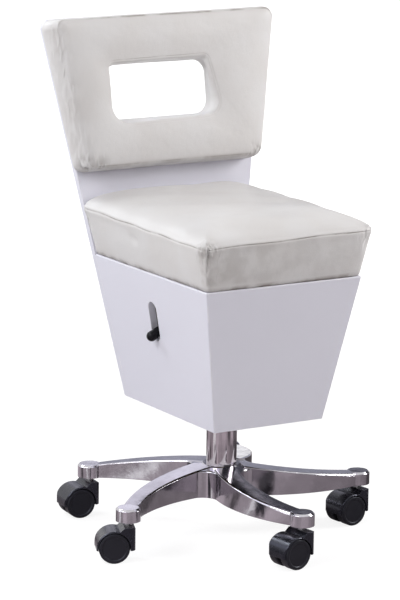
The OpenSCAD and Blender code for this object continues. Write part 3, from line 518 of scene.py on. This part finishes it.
def make_piece(name, points, faces):
    """A smooth-shaded mesh object in the scene."""
    mesh = bpy.data.meshes.new(name)
    mesh.from_pydata([tuple(p) for p in points], [], faces)
    mesh.validate()
    mesh.shade_smooth()
    return into_scene(name, mesh)


def read_vectors(items, field):
    vectors = np.zeros(len(items) * 3, np.float32)
    items.foreach_get(field, vectors)
    return vectors.reshape(-1, 3).astype(float)


def read_points(mesh):
    return read_vectors(mesh.vertices, "co")


def write_points(mesh, points):
    mesh.vertices.foreach_set("co", points.astype(np.float32).ravel())
    mesh.update()


def evened(mesh, values, free, rounds):
    """Draws the value of each free point towards the mean of its neighbours."""
    ends = np.array([edge.vertices[:] for edge in mesh.edges])
    count = np.bincount(ends.ravel(), minlength=len(values))[:, None]
    for _ in range(rounds):
        near = np.zeros_like(values)
        np.add.at(near, ends[:, 0], values[ends[:, 1]])
        np.add.at(near, ends[:, 1], values[ends[:, 0]])
        values = np.where(free[:, None], 0.4 * values + 0.6 * near / count, values)
    return values


def swell(cover, held, limit):
    """Lets the foam push the cover out where it isn't held, no point by more than limit."""
    start = read_points(cover.data)
    cover.vertex_groups.new(name="held").add(np.flatnonzero(held).tolist(), 1.0, "REPLACE")
    cloth = cover.modifiers.new("Foam", "CLOTH")
    set_all(cloth.settings, quality=6, mass=0.3, vertex_group_mass="held",
            tension_stiffness=18.0, compression_stiffness=18.0, shear_stiffness=8.0,
            bending_stiffness=3.0, use_pressure=True, uniform_pressure_force=4.0,
            shrink_min=-0.001)
    cloth.settings.effector_weights.gravity = 0.0
    cloth.collision_settings.use_collision = False
    scene = bpy.context.scene
    frames = 20
    for moment in range(1, frames + 1):
        scene.frame_set(moment)
    shown = cover.evaluated_get(bpy.context.evaluated_depsgraph_get())
    moved = read_points(shown.data) - start
    # the foam behind carries the cover over folds as small as the mesh
    moved = evened(cover.data, moved, ~held, 16)
    far = np.linalg.norm(moved, axis=1)
    # softly capped, so that no ridge marks where the limit starts
    kept = limit * np.tanh(far / limit) / np.maximum(far, 1e-9)
    cover.modifiers.remove(cloth)
    write_points(cover.data, start + moved * kept[:, None])
    scene.frame_set(1)


def bulge(points, normals, centre, along, long, wide, height):
    """Raises or sinks a soft oval on a cover: long and wide are its half-sizes."""
    centre, along = np.array(centre), np.array(along) / np.linalg.norm(along)
    away = points - centre
    length = away @ along
    side = np.linalg.norm(away - np.outer(length, along), axis=1)
    share = np.exp(-(length / long) ** 2 - (side / wide) ** 2)
    points += normals * (share * height)[:, None]


def lumpy(points, normals, size, height):
    """The foam's own unevenness."""
    drift = np.array([noise.noise(Vector(p) / size) for p in points])
    points += normals * (drift * height)[:, None]


def mark(mesh, name, amounts):
    """Stores how much of a seam or of gathers each point shows, for the finish to read."""
    layer = mesh.attributes.new(name, "FLOAT", "POINT")
    layer.data.foreach_set("value", np.clip(amounts, 0, 1).astype(np.float32))


def round_spots(points, spots):
    """Soft round marks: each has a centre, a radius and a strength."""
    marks = np.zeros(len(points))
    for centre, radius, strength in spots:
        far = np.linalg.norm(points - np.array(centre), axis=1)
        marks = np.maximum(marks, strength * np.exp(-(far / radius) ** 2))
    return marks


def by_side(first, second, third, fourth):
    """A number for each point of a ring, from one for each side, blended at the corners."""
    quarter = np.arange(RING) * 4 / RING
    corner = (first + fourth) / 2
    return np.interp(quarter, (0, 0.05, 0.95, 1.05, 1.95, 2.05, 2.95, 3.05, 3.95, 4), (
        corner, first, first, second, second, third, third, fourth, fourth, corner))


def finish_cover(cover, replaced):
    """Gives a cover its vinyl and puts it on the seat's body in place of a CAD solid."""
    cover.data.materials.append(bpy.data.materials["Cream vinyl"])
    cover.modifiers.new("Smooth", "SUBSURF").render_levels = 1
    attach(cover, "seat")
    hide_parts(replaced)


# ---- the seat pad ----


def board_front(box, z):
    """Where the front of the back board lies at a height."""
    return (box.rear + (z - box.foot) * math.tan(box.back_lean)
            - box.board / math.cos(box.back_lean))


def seat_corners(box, z):
    """The pad's corners at a height: front left, front right, rear right, rear left."""
    up = z - box.foot
    half = box.half_width + up * math.tan(box.side_lean)
    front = -box.front - up * math.tan(box.front_lean)
    rear = board_front(box, z) - 0.001
    return outlined((-half, front), (half, front), (half, rear), (-half, rear))


def seat_rows(pad):
    """Height above the rim and inset of each ring from the rim up over the seam."""
    low = [(0.0, 0.0042), (0.0014, 0.0020), (0.0036, 0.0008)]
    steps = 13
    sides = [(0.0034 + (pad.height - 0.0084) * k / steps, 0.0006) for k in range(1, steps)]
    seam = [(pad.height + up, inset) for up, inset in (
        (-0.0046, 0.0002), (-0.0022, 0.0001), (-0.0008, 0.0008), (0.0, 0.0015),
        (0.0010, 0.0007), (0.0026, 0.0003), (0.0048, 0.0014), (0.0066, 0.0032))]
    return low + sides + seam, len(low), len(low) + len(sides) + 3


class CHAIR_OT_upholster_seat(bpy.types.Operator):
    """Makes the seat pad: boxed sides, a seam, and a crowned top swollen by its foam"""

    bl_idname = "chair.upholster_seat"
    bl_label = "Upholster the seat"

    def execute(self, context):
        box, pad = context.scene.chair_box, context.scene.chair_seat_pad
        heights, side_row, seam_row = seat_rows(pad)
        rings = []
        for up, inset in heights:
            corners = seat_corners(box, box.rim + min(up, pad.height))
            radii = [max(0.003, r - inset) for r in
                     (pad.corner, pad.corner, pad.rear_corner, pad.rear_corner)]
            rings.append(at_height(ring(drawn_in(corners, inset), radii), box.rim + up))
        points, faces = stacked(rings)
        top, top_faces = filled(rings[-1], len(points) - RING, len(points), True)
        top_up, top_inset = heights[-1]
        seam_corners = drawn_in(seat_corners(box, box.rim + pad.height), top_inset)
        reach = 0.88 * seam_corners[1].x
        closeness = np.zeros(len(top))
        # the crown comes up slowly behind the front seam, and fast before the rear one
        for i, slowness in enumerate((1.6, 1.35, 0.4, 1.25)):
            along = (seam_corners[(i + 1) % 4] - seam_corners[i]).normalized()
            inward = np.array((-along.y, along.x))
            away = (top[:, :2] - np.array(seam_corners[i])) @ inward
            closeness += (np.maximum(away, 1e-5) / (reach * slowness)) ** -4.0
        share = 1 - np.exp(-(closeness ** -0.25 / 0.125) ** 0.8)
        top[:, 2] = rings[-1][0, 2] + (pad.crown - top_up + pad.height) * share
        bottom, bottom_faces = filled(rings[0], 0, len(points) + len(top), False)
        points = np.concatenate([points, top, bottom])
        cover = make_piece("seat_cover", points, faces + top_faces + bottom_faces)

        # the low rings, the seam, the rear and the bottom are held
        held = points[:, 1] > seat_corners(box, box.rim)[2].y - 0.001
        held[rows(0, side_row)] = held[rows(seam_row - 1, 3)] = held[-len(bottom):] = True
        swell(cover, held, pad.swell)

        points = read_points(cover.data)
        normals = read_vectors(cover.data.vertex_normals, "vector")
        lumpy(points, normals, 0.07, 0.0008)
        self.add_creases(points, normals, box, pad)
        self.pull_seam(points, box, pad)
        points[-len(bottom):, 2] = box.rim
        # the rear of the pad stays clear of the back board
        points[:, 1] = np.minimum(points[:, 1], board_front(box, points[:, 2]) - 0.0005)
        write_points(cover.data, points)

        # painted shade: the seam groove and the pad's foot where it meets the rim are painted
        # darker
        depth = np.zeros(len(points))
        for row, amount in ((seam_row - 1, 0.2), (seam_row, 1.0), (seam_row + 1, 0.1),
                            (0, 1.0), (1, 1.0), (2, 0.6), (3, 0.12)):
            depth[rows(row)] = amount
        # painted shade: the front of the boxing is painted darker towards the left
        painted_corner_shade = 0.36 * np.clip(1 - np.arange(RING) * 4 / RING, 0, 1)
        for row in range(4, seam_row - 1):
            depth[rows(row)] += painted_corner_shade
        mark(cover.data, "seam", depth)
        # pleats under the seam at the corners, bumped in and painted darker: painted shade in the
        # pleats
        under = [Vector((*corner, box.rim + pad.height - 0.010))
                 for corner in seat_corners(box, box.rim + pad.height)]
        deeper = Vector((0.004, 0.003, -0.040))
        mark(cover.data, "gathers_and_shade", round_spots(points, (
            (under[0], 0.020, 1.0), (under[0] + deeper, 0.018, 0.55), (under[1], 0.016, 0.6),
            (under[3], 0.014, 0.7), (under[0] + deeper * 1.5, 0.010, 0.7))))
        finish_cover(cover, "seat_cushion")
        return {"FINISHED"}

    def pull_seam(self, points, box, pad):
        """Lowers the seam at the front left corner and raises it behind, as it was sewn."""
        seam = [np.array(c) for c in seat_corners(box, box.rim + pad.height)]
        across = np.clip((points[:, 0] - seam[0][0]) / (seam[1][0] - seam[0][0]), 0, 1)
        back = np.clip((points[:, 1] - seam[0][1]) / (seam[3][1] - seam[0][1]), 0, 1)
        height = np.clip((points[:, 2] - box.rim) / pad.height, 0, 1) ** 2
        front = -0.0035 + 0.0065 * across ** 0.6
        rear = 0.0045 - 0.0015 * across
        points[:, 2] += height * (front * (1 - back) + rear * back)
        points[:, 2] += height * 0.0008 * np.sin(41 * points[:, 0] + 67 * points[:, 1])
        points[:, 0] -= height * 0.0060 * back ** 2 * (1 - across) ** 4

    def add_creases(self, points, normals, box, pad):
        """Puckers at the front corners, and the small dents of a pulled cover."""
        seam = box.rim + pad.height
        # how far in and down, how it leans across and up, half length, half width, height
        folds = ((0.006, 0.006, (1, 1.2), 0.010, 0.0035, 0.0012),
                 (0.010, 0.014, (1, 1.6), 0.012, 0.0030, -0.0034),
                 (0.017, 0.024, (0.5, 1.6), 0.018, 0.0040, 0.0010),
                 (0.012, 0.042, (0.2, 1.6), 0.020, 0.0034, -0.0020))
        for side, (x, y) in zip((-1, 1), seat_corners(box, seam - 0.01)):
            for inward, down, (across, up), *oval in folds:
                bulge(points, normals, (x - side * inward, y, seam - down),
                      (side * across, 0, up), *oval)
        bulge(points, normals, (-0.153, 0.026, 0.496), (0, 1, 0.6), 0.010, 0.006, -0.0030)


# ---- the back pad ----


def backward(box):
    """The way that the back board's rear face looks."""
    return np.array((0.0, math.cos(box.back_lean), -math.sin(box.back_lean)))


def on_back(box, points, depth):
    """Places points (sideways, up the slope) at a depth in front of the back board."""
    up = np.array((0.0, math.sin(box.back_lean), math.cos(box.back_lean)))
    origin = np.array((0.0, box.rear, box.foot))
    depth = np.broadcast_to(depth, len(points))
    placed = origin + points[:, 1:2] * up - (box.board + depth)[:, None] * backward(box)
    placed[:, 0] += points[:, 0]
    return placed


# how far the left side stands out, from the board (0) to the seam (1)
LEFT_DEPTHS = (0.0, 0.10, 0.26, 0.48, 0.70, 0.86, 1.0)
LEFT_STUFFING = (0.0048, 0.0064, 0.0062, 0.0040, 0.0004, -0.0032, -0.0058)


class CHAIR_OT_upholster_back(bpy.types.Operator):
    """Makes the back pad: boxed edges, seams and the covered hand-hole"""

    bl_idname = "chair.upholster_back"
    bl_label = "Upholster the back"

    def execute(self, context):
        box, pad = context.scene.chair_box, context.scene.chair_back_pad
        seam = pad.thickness

        def half_at(up):
            return box.half_width + up * math.cos(box.back_lean) * math.tan(box.side_lean)

        low, high = pad.length - pad.height, pad.length

        def outline(depth):
            foot = low + pad.slant * (depth / seam) ** 2
            return outlined((-half_at(foot), foot), (half_at(foot), foot),
                            (half_at(high), high), (-half_at(high), high))

        # the hand-hole as it shows in front, where the cover pulls it out of true
        hole = outlined((-0.1110, 0.4500), (0.0930, 0.4555), (0.0700, 0.5500),
                        (-0.1135, 0.5475))
        hole_radii = [0.030, 0.022, 0.008, 0.008]
        true_radius = 0.024
        true_hole = outlined((-0.1060, 0.4550), (0.0940, 0.4550), (0.0940, 0.5470),
                             (-0.1060, 0.5470))

        def outer(inset, depth):
            """A ring near the pad's edge.  The left side is stuffed out over the board's edge
            and rounds off towards the face."""
            radius = max(0.006, pad.corner - inset * 0.5)
            points = ring(drawn_in(outline(depth), inset), [radius] * 4)
            share = np.clip((-points[:, 0] / half_at(points[:, 1]) - 0.72) / 0.28, 0, 1) ** 2
            points[:, 0] -= share * np.interp(depth / seam, LEFT_DEPTHS, LEFT_STUFFING)
            return on_back(box, points, depth)

        def inner(margin, depth, front=1.0):
            """A ring round the hole, between its true shape (0) and that in front (1)."""
            corners = [straight.lerp(pulled, front) for straight, pulled in
                       zip(drawn_in(true_hole, -margin), drawn_in(hole, -margin))]
            radii = [true_radius + (r - true_radius) * front + margin for r in hole_radii]
            return on_back(box, ring(corners, radii), depth)

        # inset and depth of each ring from the board over the seam to the face
        edge = [outer(*row) for row in (
            (0.0006, 0.0), (0.0002, 0.002), (0.0003, 0.008), (0.0006, 0.014), (0.0006, 0.020),
            (0.0005, 0.026), (0.0009, seam - 0.0075), (0.0017, seam - 0.0042),
            (0.0027, seam - 0.0026), (0.0034, seam - 0.0023), (0.0040, seam - 0.0012),
            (0.0062, seam + 0.0004), (0.0100, seam + 0.0018), (0.0150, seam + 0.0030))]
        edge_seam = 9
        # margin and depth of each ring round the hole, over its seam and through the board
        through = box.board - 0.0004
        hole_rows = [inner(*row) for row in (
            (0.0085, seam + 0.0030), (0.0072, seam + 0.0028), (0.0062, seam + 0.0025),
            (0.0056, seam + 0.0020), (0.0050, seam + 0.0022), (0.0034, seam + 0.0019),
            (0.0018, seam + 0.0009), (0.0007, seam - 0.0012), (0.0001, seam - 0.0060, 0.97),
            (0.0, seam - 0.014, 0.80), (0.0, seam - 0.023, 0.50), (0.0, seam - 0.031, 0.18),
            (-0.0012, 0.0, 0.0), (-0.0012, -through, 0.0), (-0.0003, -through, 0.0),
            (-0.0003, 0.0, 0.0))]
        face = []
        steps = 15
        for k in range(1, steps):
            share = k / steps
            lift = 0.0022 * math.sin(math.pi * share) ** 0.7
            face.append(edge[-1] * (1 - share) + hole_rows[0] * share - backward(box) * lift)
        hole_seam = len(edge) + len(face) + 3
        rear = [edge[0] * share + hole_rows[-1] * (1 - share) for share in (0.2, 0.4, 0.6, 0.8)]
        rings = edge + face + hole_rows + rear
        points, faces = stacked(rings, closed=True)
        cover = make_piece("back_cover", points, faces)

        # the board's edge, both seams and the lining of the hole are held
        held = np.zeros(len(points), bool)
        held[rows(0, 2)] = held[(hole_seam + 4) * RING:] = True
        held[rows(edge_seam - 1, 3)] = held[rows(hole_seam - 1, 3)] = True
        swell(cover, held, pad.swell)
        # the face is one taut sheet, with no ridges from its corners to those of the hole
        taut = np.zeros(len(points), bool)
        taut[rows(len(edge), hole_seam - 2 - len(edge))] = True
        write_points(cover.data, evened(cover.data, read_points(cover.data), taut, 30))

        points = read_points(cover.data)
        normals = read_vectors(cover.data.vertex_normals, "vector")
        shifted = points.copy()
        lumpy(shifted, normals, 0.08, 0.0010)
        self.add_creases(shifted, normals, box, low)
        loose = slice(2 * RING, (len(rings) - 5) * RING)
        points[loose] = shifted[loose]
        write_points(cover.data, points)

        # painted shade: how dark the seams, the pad's edge at the board and its underside are
        # painted, below, right, above, left
        depth = np.zeros(len(points))
        shown = {0: (1.0, 1.0, 0.8, 0.15), 1: (0.7, 0.5, 0.3, 0.0),
                 edge_seam - 1: (0.3, 0.1, 0.5, 0.0), edge_seam: (0.65, 0.4, 1.0, 0.05),
                 edge_seam + 1: (0.2, 0.1, 0.4, 0.0), hole_seam: (0.05, 0.2, 0.6, 0.1)}
        shown.update({row: (0.33, 0.0, 0.0, 0.0) for row in range(2, edge_seam - 1)})
        for row, amounts in shown.items():
            depth[rows(row)] = by_side(*amounts)
        mark(cover.data, "seam", depth)
        # pleats at the lower corners and along the left side, bumped in and painted darker:
        # painted shade in the pleats
        left = -half_at(low)
        corners = on_back(box, np.array([(left, low + 0.008), (left + 0.024, low + 0.012),
                                         (-left - 0.006, low + 0.008)]), seam - 0.004)
        sides = on_back(box, np.array([(-half_at(up), up) for up in
                                       np.linspace(low + 0.03, high - 0.02, 12)]),
                        seam - 0.006)
        mark(cover.data, "gathers_and_shade", round_spots(points, (
            (corners[0], 0.018, 1.0), (corners[1], 0.012, 0.8), (corners[2], 0.014, 0.7),
            *((side, 0.020, 0.22) for side in sides))))
        finish_cover(cover, "back_cushion")
        return {"FINISHED"}

    def add_creases(self, points, normals, box, low):
        """Folds at the lower corners and along the left edge."""
        def place(x, up, depth):
            return on_back(box, np.array([[x, up]]), depth)[0]

        left = -(box.half_width + low * math.tan(box.side_lean))
        slope = (0.05, 0.16, 0.98)
        # place, lean, half length, half width and height of each fold
        folds = (((left + 0.012, low + 0.018, 0.036), (0.8, 0, 0.5), 0.014, 0.003, -0.0018),
                 ((left + 0.006, low + 0.034, 0.036), (0.5, 0, 0.9), 0.018, 0.003, -0.0014),
                 ((left + 0.022, low + 0.012, 0.038), (1, 0, 0.2), 0.016, 0.003, 0.0010),
                 ((-left - 0.012, low + 0.018, 0.036), (-0.8, 0, 0.5), 0.014, 0.003, -0.0016))
        for spot, *oval in folds:
            bulge(points, normals, place(*spot), *oval)
        for depth, height in ((0.010, -0.0012), (0.018, 0.0010), (0.027, -0.0012)):
            bulge(points, normals, place(left - 0.022, low + 0.11, depth), slope,
                  0.070, 0.0035, height)
            bulge(points, normals, place(left - 0.012, low + 0.05, depth + 0.004), slope,
                  0.040, 0.0030, -height)


# ---- finishes on the frame ----


class CHAIR_OT_mix_finishes(bpy.types.Operator):
    """Builds the shared shader groups and the vinyl that both pads use"""

    bl_idname = "chair.mix_finishes"
    bl_label = "Mix the finishes"

    def execute(self, context):
        build_groups()
        vinyl_finish(context.scene.chair_finishes.vinyl)
        return {"FINISHED"}


class CHAIR_OT_finish_boards(bpy.types.Operator):
    """Lacquers the box and back boards and finishes the plywood inside them"""

    bl_idname = "chair.finish_boards"
    bl_label = "Finish the boards"

    def execute(self, context):
        scene = context.scene
        give_finish("white_lacquer",
                    lacquer_finish(scene.chair_finishes.lacquer, scene.chair_box.rim))
        give_finish("plywood", plywood_finish())
        return {"FINISHED"}


class CHAIR_OT_finish_metal(bpy.types.Operator):
    """Polishes the star base and stand tube, and finishes the lift's and lever's metal"""

    bl_idname = "chair.finish_metal"
    bl_label = "Finish the metal"

    def execute(self, context):
        colours = context.scene.chair_finishes
        # colour, gloss where clean and where smudged, eased edge and depth of waves
        for slot, name, *looks in (
                ("cast_aluminium", "Polished casting", colours.aluminium,
                 0.11, 0.18, 0.0012, 0.00020),
                ("chrome_tube", "Chromed tube", colours.chrome, 0.07, 0.13, 0.0006, 0.00003),
                ("bright_steel", "Bright steel", colours.steel, 0.20, 0.32, 0.0004, 0.00003),
                ("black_steel", "Blacked steel", (0.07, 0.07, 0.075), 0.35, 0.5, 0.0005, 0.00004),
                ("valve_brass", "Valve brass", (0.72, 0.52, 0.24), 0.2, 0.3, 0.0004, 0.00003)):
            give_finish(slot, metal_finish(name, *looks))
        return {"FINISHED"}


class CHAIR_OT_finish_plastics(bpy.types.Operator):
    """Finishes the casters, the lever's grip and the lift's plastic parts"""

    bl_idname = "chair.finish_plastics"
    bl_label = "Finish the plastics"

    def execute(self, context):
        caster = context.scene.chair_finishes.caster
        # colour, gloss where clean and where smudged, depth of grain, dust, tint and shine
        for slot, name, *looks in (
                ("caster_black", "Caster hood", caster, 0.20, 0.30, 0.00002, 0.06,
                 (0.80, 0.82, 1.0)),
                ("wheel_black", "Caster wheel", [c * 0.8 for c in caster], 0.38, 0.50,
                 0.00003, 0.05, (0.85, 0.87, 1.0), 0.38),
                ("black_grip", "Lever grip", (0.006, 0.006, 0.008), 0.22, 0.32,
                 0.00001, 0.01, (1, 1, 1), 0.12),
                ("black_nylon", "Nylon", (0.016, 0.016, 0.018), 0.40, 0.55, 0.00002, 0.10)):
            give_finish(slot, plastic_finish(name, *looks))
        return {"FINISHED"}


# ---- studio ----


def to_camera(tree):
    """1 for what the camera, a mirror finish or a see-through one sees directly."""
    path = new_node(tree, "LightPath").outputs
    seen = sum_of(tree, "MAXIMUM", path["Is Camera Ray"], path["Is Glossy Ray"])
    return sum_of(tree, "MAXIMUM", seen, path["Is Transmission Ray"])


def empty_tree(item):
    """The shader tree of a new material or world, cleared."""
    item.use_nodes = True
    item.node_tree.nodes.clear()
    return item.node_tree


def lamp(name, place, aim, size, power, colour=(1, 1, 1)):
    """A square lamp that faces the swivel axis at a height."""
    data = bpy.data.lights.new(name, "AREA")
    set_all(data, shape="RECTANGLE", size=size, size_y=size, energy=power, color=colour)
    item = into_scene(name, data)
    item.location = place
    item.rotation_euler = (Vector((0, 0, aim)) - item.location).to_track_quat("-Z", "Y").to_euler()


def fan_card(name, near, far, low, high, turns, tone, strength=1.0):
    """Glowing cards between two radii and heights, one for each pair of turns.  Only
    reflections see them, like the cards that stand round bright metal in a studio."""
    points, faces = [], []
    steps = 8
    for start, end in turns:
        first = len(points)
        for k in range(steps + 1):
            turn = math.radians(start + (end - start) * k / steps)
            points += [(reach * math.cos(turn), reach * math.sin(turn), height)
                       for reach, height in ((near, low), (far, high))]
        faces += [(first + 2 * k, first + 2 * k + 1, first + 2 * k + 3, first + 2 * k + 2)
                  for k in range(steps)]
    card = make_piece(name, points, faces)
    material = bpy.data.materials.new(name)
    tree = empty_tree(material)
    shade = ramp(tree, speckle(tree, 0.35, 2.0, (1, 1, 0.2)), 0.4, 0.6)
    glow = new_node(tree, "Emission", {
        "Color": mixed(tree, shade, rgba(tone), rgba(tone, 0.75)), "Strength": strength})
    new_node(tree, "OutputMaterial", {"Surface": glow.outputs[0]})
    card.data.materials.append(material)
    set_all(card, visible_camera=False, visible_diffuse=False, visible_shadow=False,
            visible_transmission=False, visible_volume_scatter=False)


class CHAIR_OT_set_studio(bpy.types.Operator):
    """Sets the floor, the even daylight, three soft lamps, reflection cards and the camera"""

    bl_idname = "chair.set_studio"
    bl_label = "Set the studio"

    def execute(self, context):
        scene, studio = context.scene, context.scene.chair_studio
        scene.view_settings.view_transform = "Standard"
        self.lay_floor()
        self.hang_daylight(scene, studio.daylight)
        lamp("Key lamp", (-2.35, -0.4, 2.15), 0.45, 1.8, studio.key, (0.975, 0.985, 1.0))
        lamp("Rear lamp", (-1.05, 1.60, 2.35), 0.5, 1.0, studio.rear, (0.90, 0.955, 1.0))
        lamp("Fill lamp", (1.9, -0.9, 1.5), 0.45, 1.0, studio.fill)
        self.stand_cards()
        self.place_camera(scene)
        return {"FINISHED"}

    def lay_floor(self):
        half = 14.0
        floor = make_piece("floor", [(-half, -half, 0), (half, -half, 0), (half, half, 0),
                                     (-half, half, 0)], [(0, 1, 2, 3)])
        material = bpy.data.materials.new("Studio floor")
        tree = empty_tree(material)
        tone = ramp(tree, speckle(tree, 0.6), 0.3, 0.7)
        paint = new_node(tree, "BsdfDiffuse", {"Color": mixed(
            tree, tone, rgba((0.74, 0.73, 0.73)), rgba((0.71, 0.70, 0.71)))})
        glow = new_node(tree, "Emission", {"Color": rgba((1, 1, 1)), "Strength": 1.24})
        # the floor takes a faint shadow near the chair and fades to white further out
        away = vector_sum(tree, "LENGTH", on_piece(tree))["Value"]
        share = sum_of(tree, "MULTIPLY", to_camera(tree), ramp(tree, away, 0.7, 2.0, 0.70, 1.0))
        blend = new_node(tree, "MixShader", {0: share, 1: paint.outputs[0], 2: glow.outputs[0]})
        new_node(tree, "OutputMaterial", {"Surface": blend.outputs[0]})
        floor.data.materials.append(material)

    def hang_daylight(self, scene, strength):
        """Even light of a given strength; what is seen directly is plain white."""
        scene.world = bpy.data.worlds.new("Studio")
        tree = empty_tree(scene.world)
        seen = to_camera(tree)
        level = sum_of(tree, "ADD", strength, sum_of(tree, "MULTIPLY", seen, 1.0 - strength))
        tint = mixed(tree, seen, rgba((1.0, 0.91, 0.91)), rgba((1, 1, 1)))
        light = new_node(tree, "Background", {"Color": tint, "Strength": level})
        new_node(tree, "OutputWorld", {"Surface": light.outputs[0]})

    def stand_cards(self):
        """Cards on the floor, in sectors from one turn to another with a tone each, give
        the column and the legs their upright bars.  Cards round about shade the legs' tops,
        darken right-hand edges and light the left-hand ones."""
        near = ((60, 98, 0.12), (98, 128, 0.60), (128, 144, 0.48), (144, 156, 0.15),
                (156, 176, 0.56), (182, 196, 0.34), (196, 214, 0.60), (214, 243, 0.46),
                (243, 284, 0.45), (284, 300, 0.40), (300, 336, 0.31), (336, 420, 0.12))
        far = ((60, 115, 0.22), (115, 174, 0.48), (195, 222, 0.68), (222, 283, 0.62),
               (283, 308, 0.15), (308, 334, 0.80), (334, 420, 0.22))
        lift = 0.0008
        for reach, sectors in (((0.03, 0.60), near), ((0.60, 1.6), far)):
            for start, end, tone in sectors:
                fan_card(f"floor_card_{start}_{end}", *reach, lift, lift, [(start, end)],
                         (tone, tone * 0.88, tone * 0.95))
        away = 3.0
        for name, low, high, turns, *light in (
                ("right_wall", 0.5, 2.6, [(256, 338), (338, 396)], (0.06, 0.06, 0.07)),
                ("rear_right_wall", 0.85, 2.6, [(36, 60)], (0.10, 0.10, 0.12)),
                ("rear_low_wall", 0.12, 0.85, [(36, 82)], (0.46, 0.47, 0.56)),
                ("rear_high_wall", 0.85, 2.6, [(60, 82)], (0.90, 0.89, 1.0), 1.3),
                ("left_window", 1.2, 3.0, [(130, 235)], (0.84, 0.86, 1.0), 2.2)):
            fan_card(name, away, away, low, high, turns, *light)

    def place_camera(self, scene):
        """A long lens in front and left of the chair."""
        data = bpy.data.cameras.new("Camera")
        set_all(data, lens=192.117, clip_start=0.1, clip_end=100.0)
        camera = into_scene("Camera", data)
        right = Vector((0.85902, -0.51182, 0.01126))
        up = Vector((0.09744, 0.18505, 0.97789))
        turn = Matrix((right, up, right.cross(up))).transposed().to_4x4()
        camera.matrix_world = Matrix.Translation((-2.64768, -4.34529, 1.47234)) @ turn
        scene.camera = camera


# ---- sidebar and registration ----

STEPS = (
    CHAIR_OT_mix_finishes, CHAIR_OT_finish_boards, CHAIR_OT_finish_metal,
    CHAIR_OT_finish_plastics, CHAIR_OT_upholster_seat, CHAIR_OT_upholster_back,
    CHAIR_OT_set_studio,
)
GROUPS = {
    "chair_box": ChairBox, "chair_seat_pad": SeatPad, "chair_back_pad": BackPad,
    "chair_finishes": Finishes, "chair_studio": Studio,
}


class CHAIR_PT_sidebar(bpy.types.Panel):
    """Lists the chair's sizes, colours and steps"""

    bl_label = "Chair"
    bl_idname = "CHAIR_PT_sidebar"
    bl_space_type = "VIEW_3D"
    bl_region_type = "UI"
    bl_category = "Chair"

    def draw(self, context):
        for name, group in GROUPS.items():
            box = self.layout.box()
            for label in group.__annotations__:
                box.prop(getattr(context.scene, name), label)
        for step in STEPS:
            self.layout.operator(step.bl_idname)


def register():
    for name, group in GROUPS.items():
        bpy.utils.register_class(group)
        setattr(bpy.types.Scene, name, bpy.props.PointerProperty(type=group))
    for item in (*STEPS, CHAIR_PT_sidebar):
        bpy.utils.register_class(item)


def unregister():
    for item in reversed((*STEPS, CHAIR_PT_sidebar)):
        bpy.utils.unregister_class(item)
    for name, group in GROUPS.items():
        delattr(bpy.types.Scene, name)
        bpy.utils.unregister_class(group)


def main():
    register()
    bpy.ops.chair.mix_finishes()
    bpy.ops.chair.finish_boards()
    bpy.ops.chair.finish_metal()
    bpy.ops.chair.finish_plastics()
    bpy.ops.chair.upholster_seat()
    bpy.ops.chair.upholster_back()
    bpy.ops.chair.set_studio()


if __name__ == "__main__":
    main()
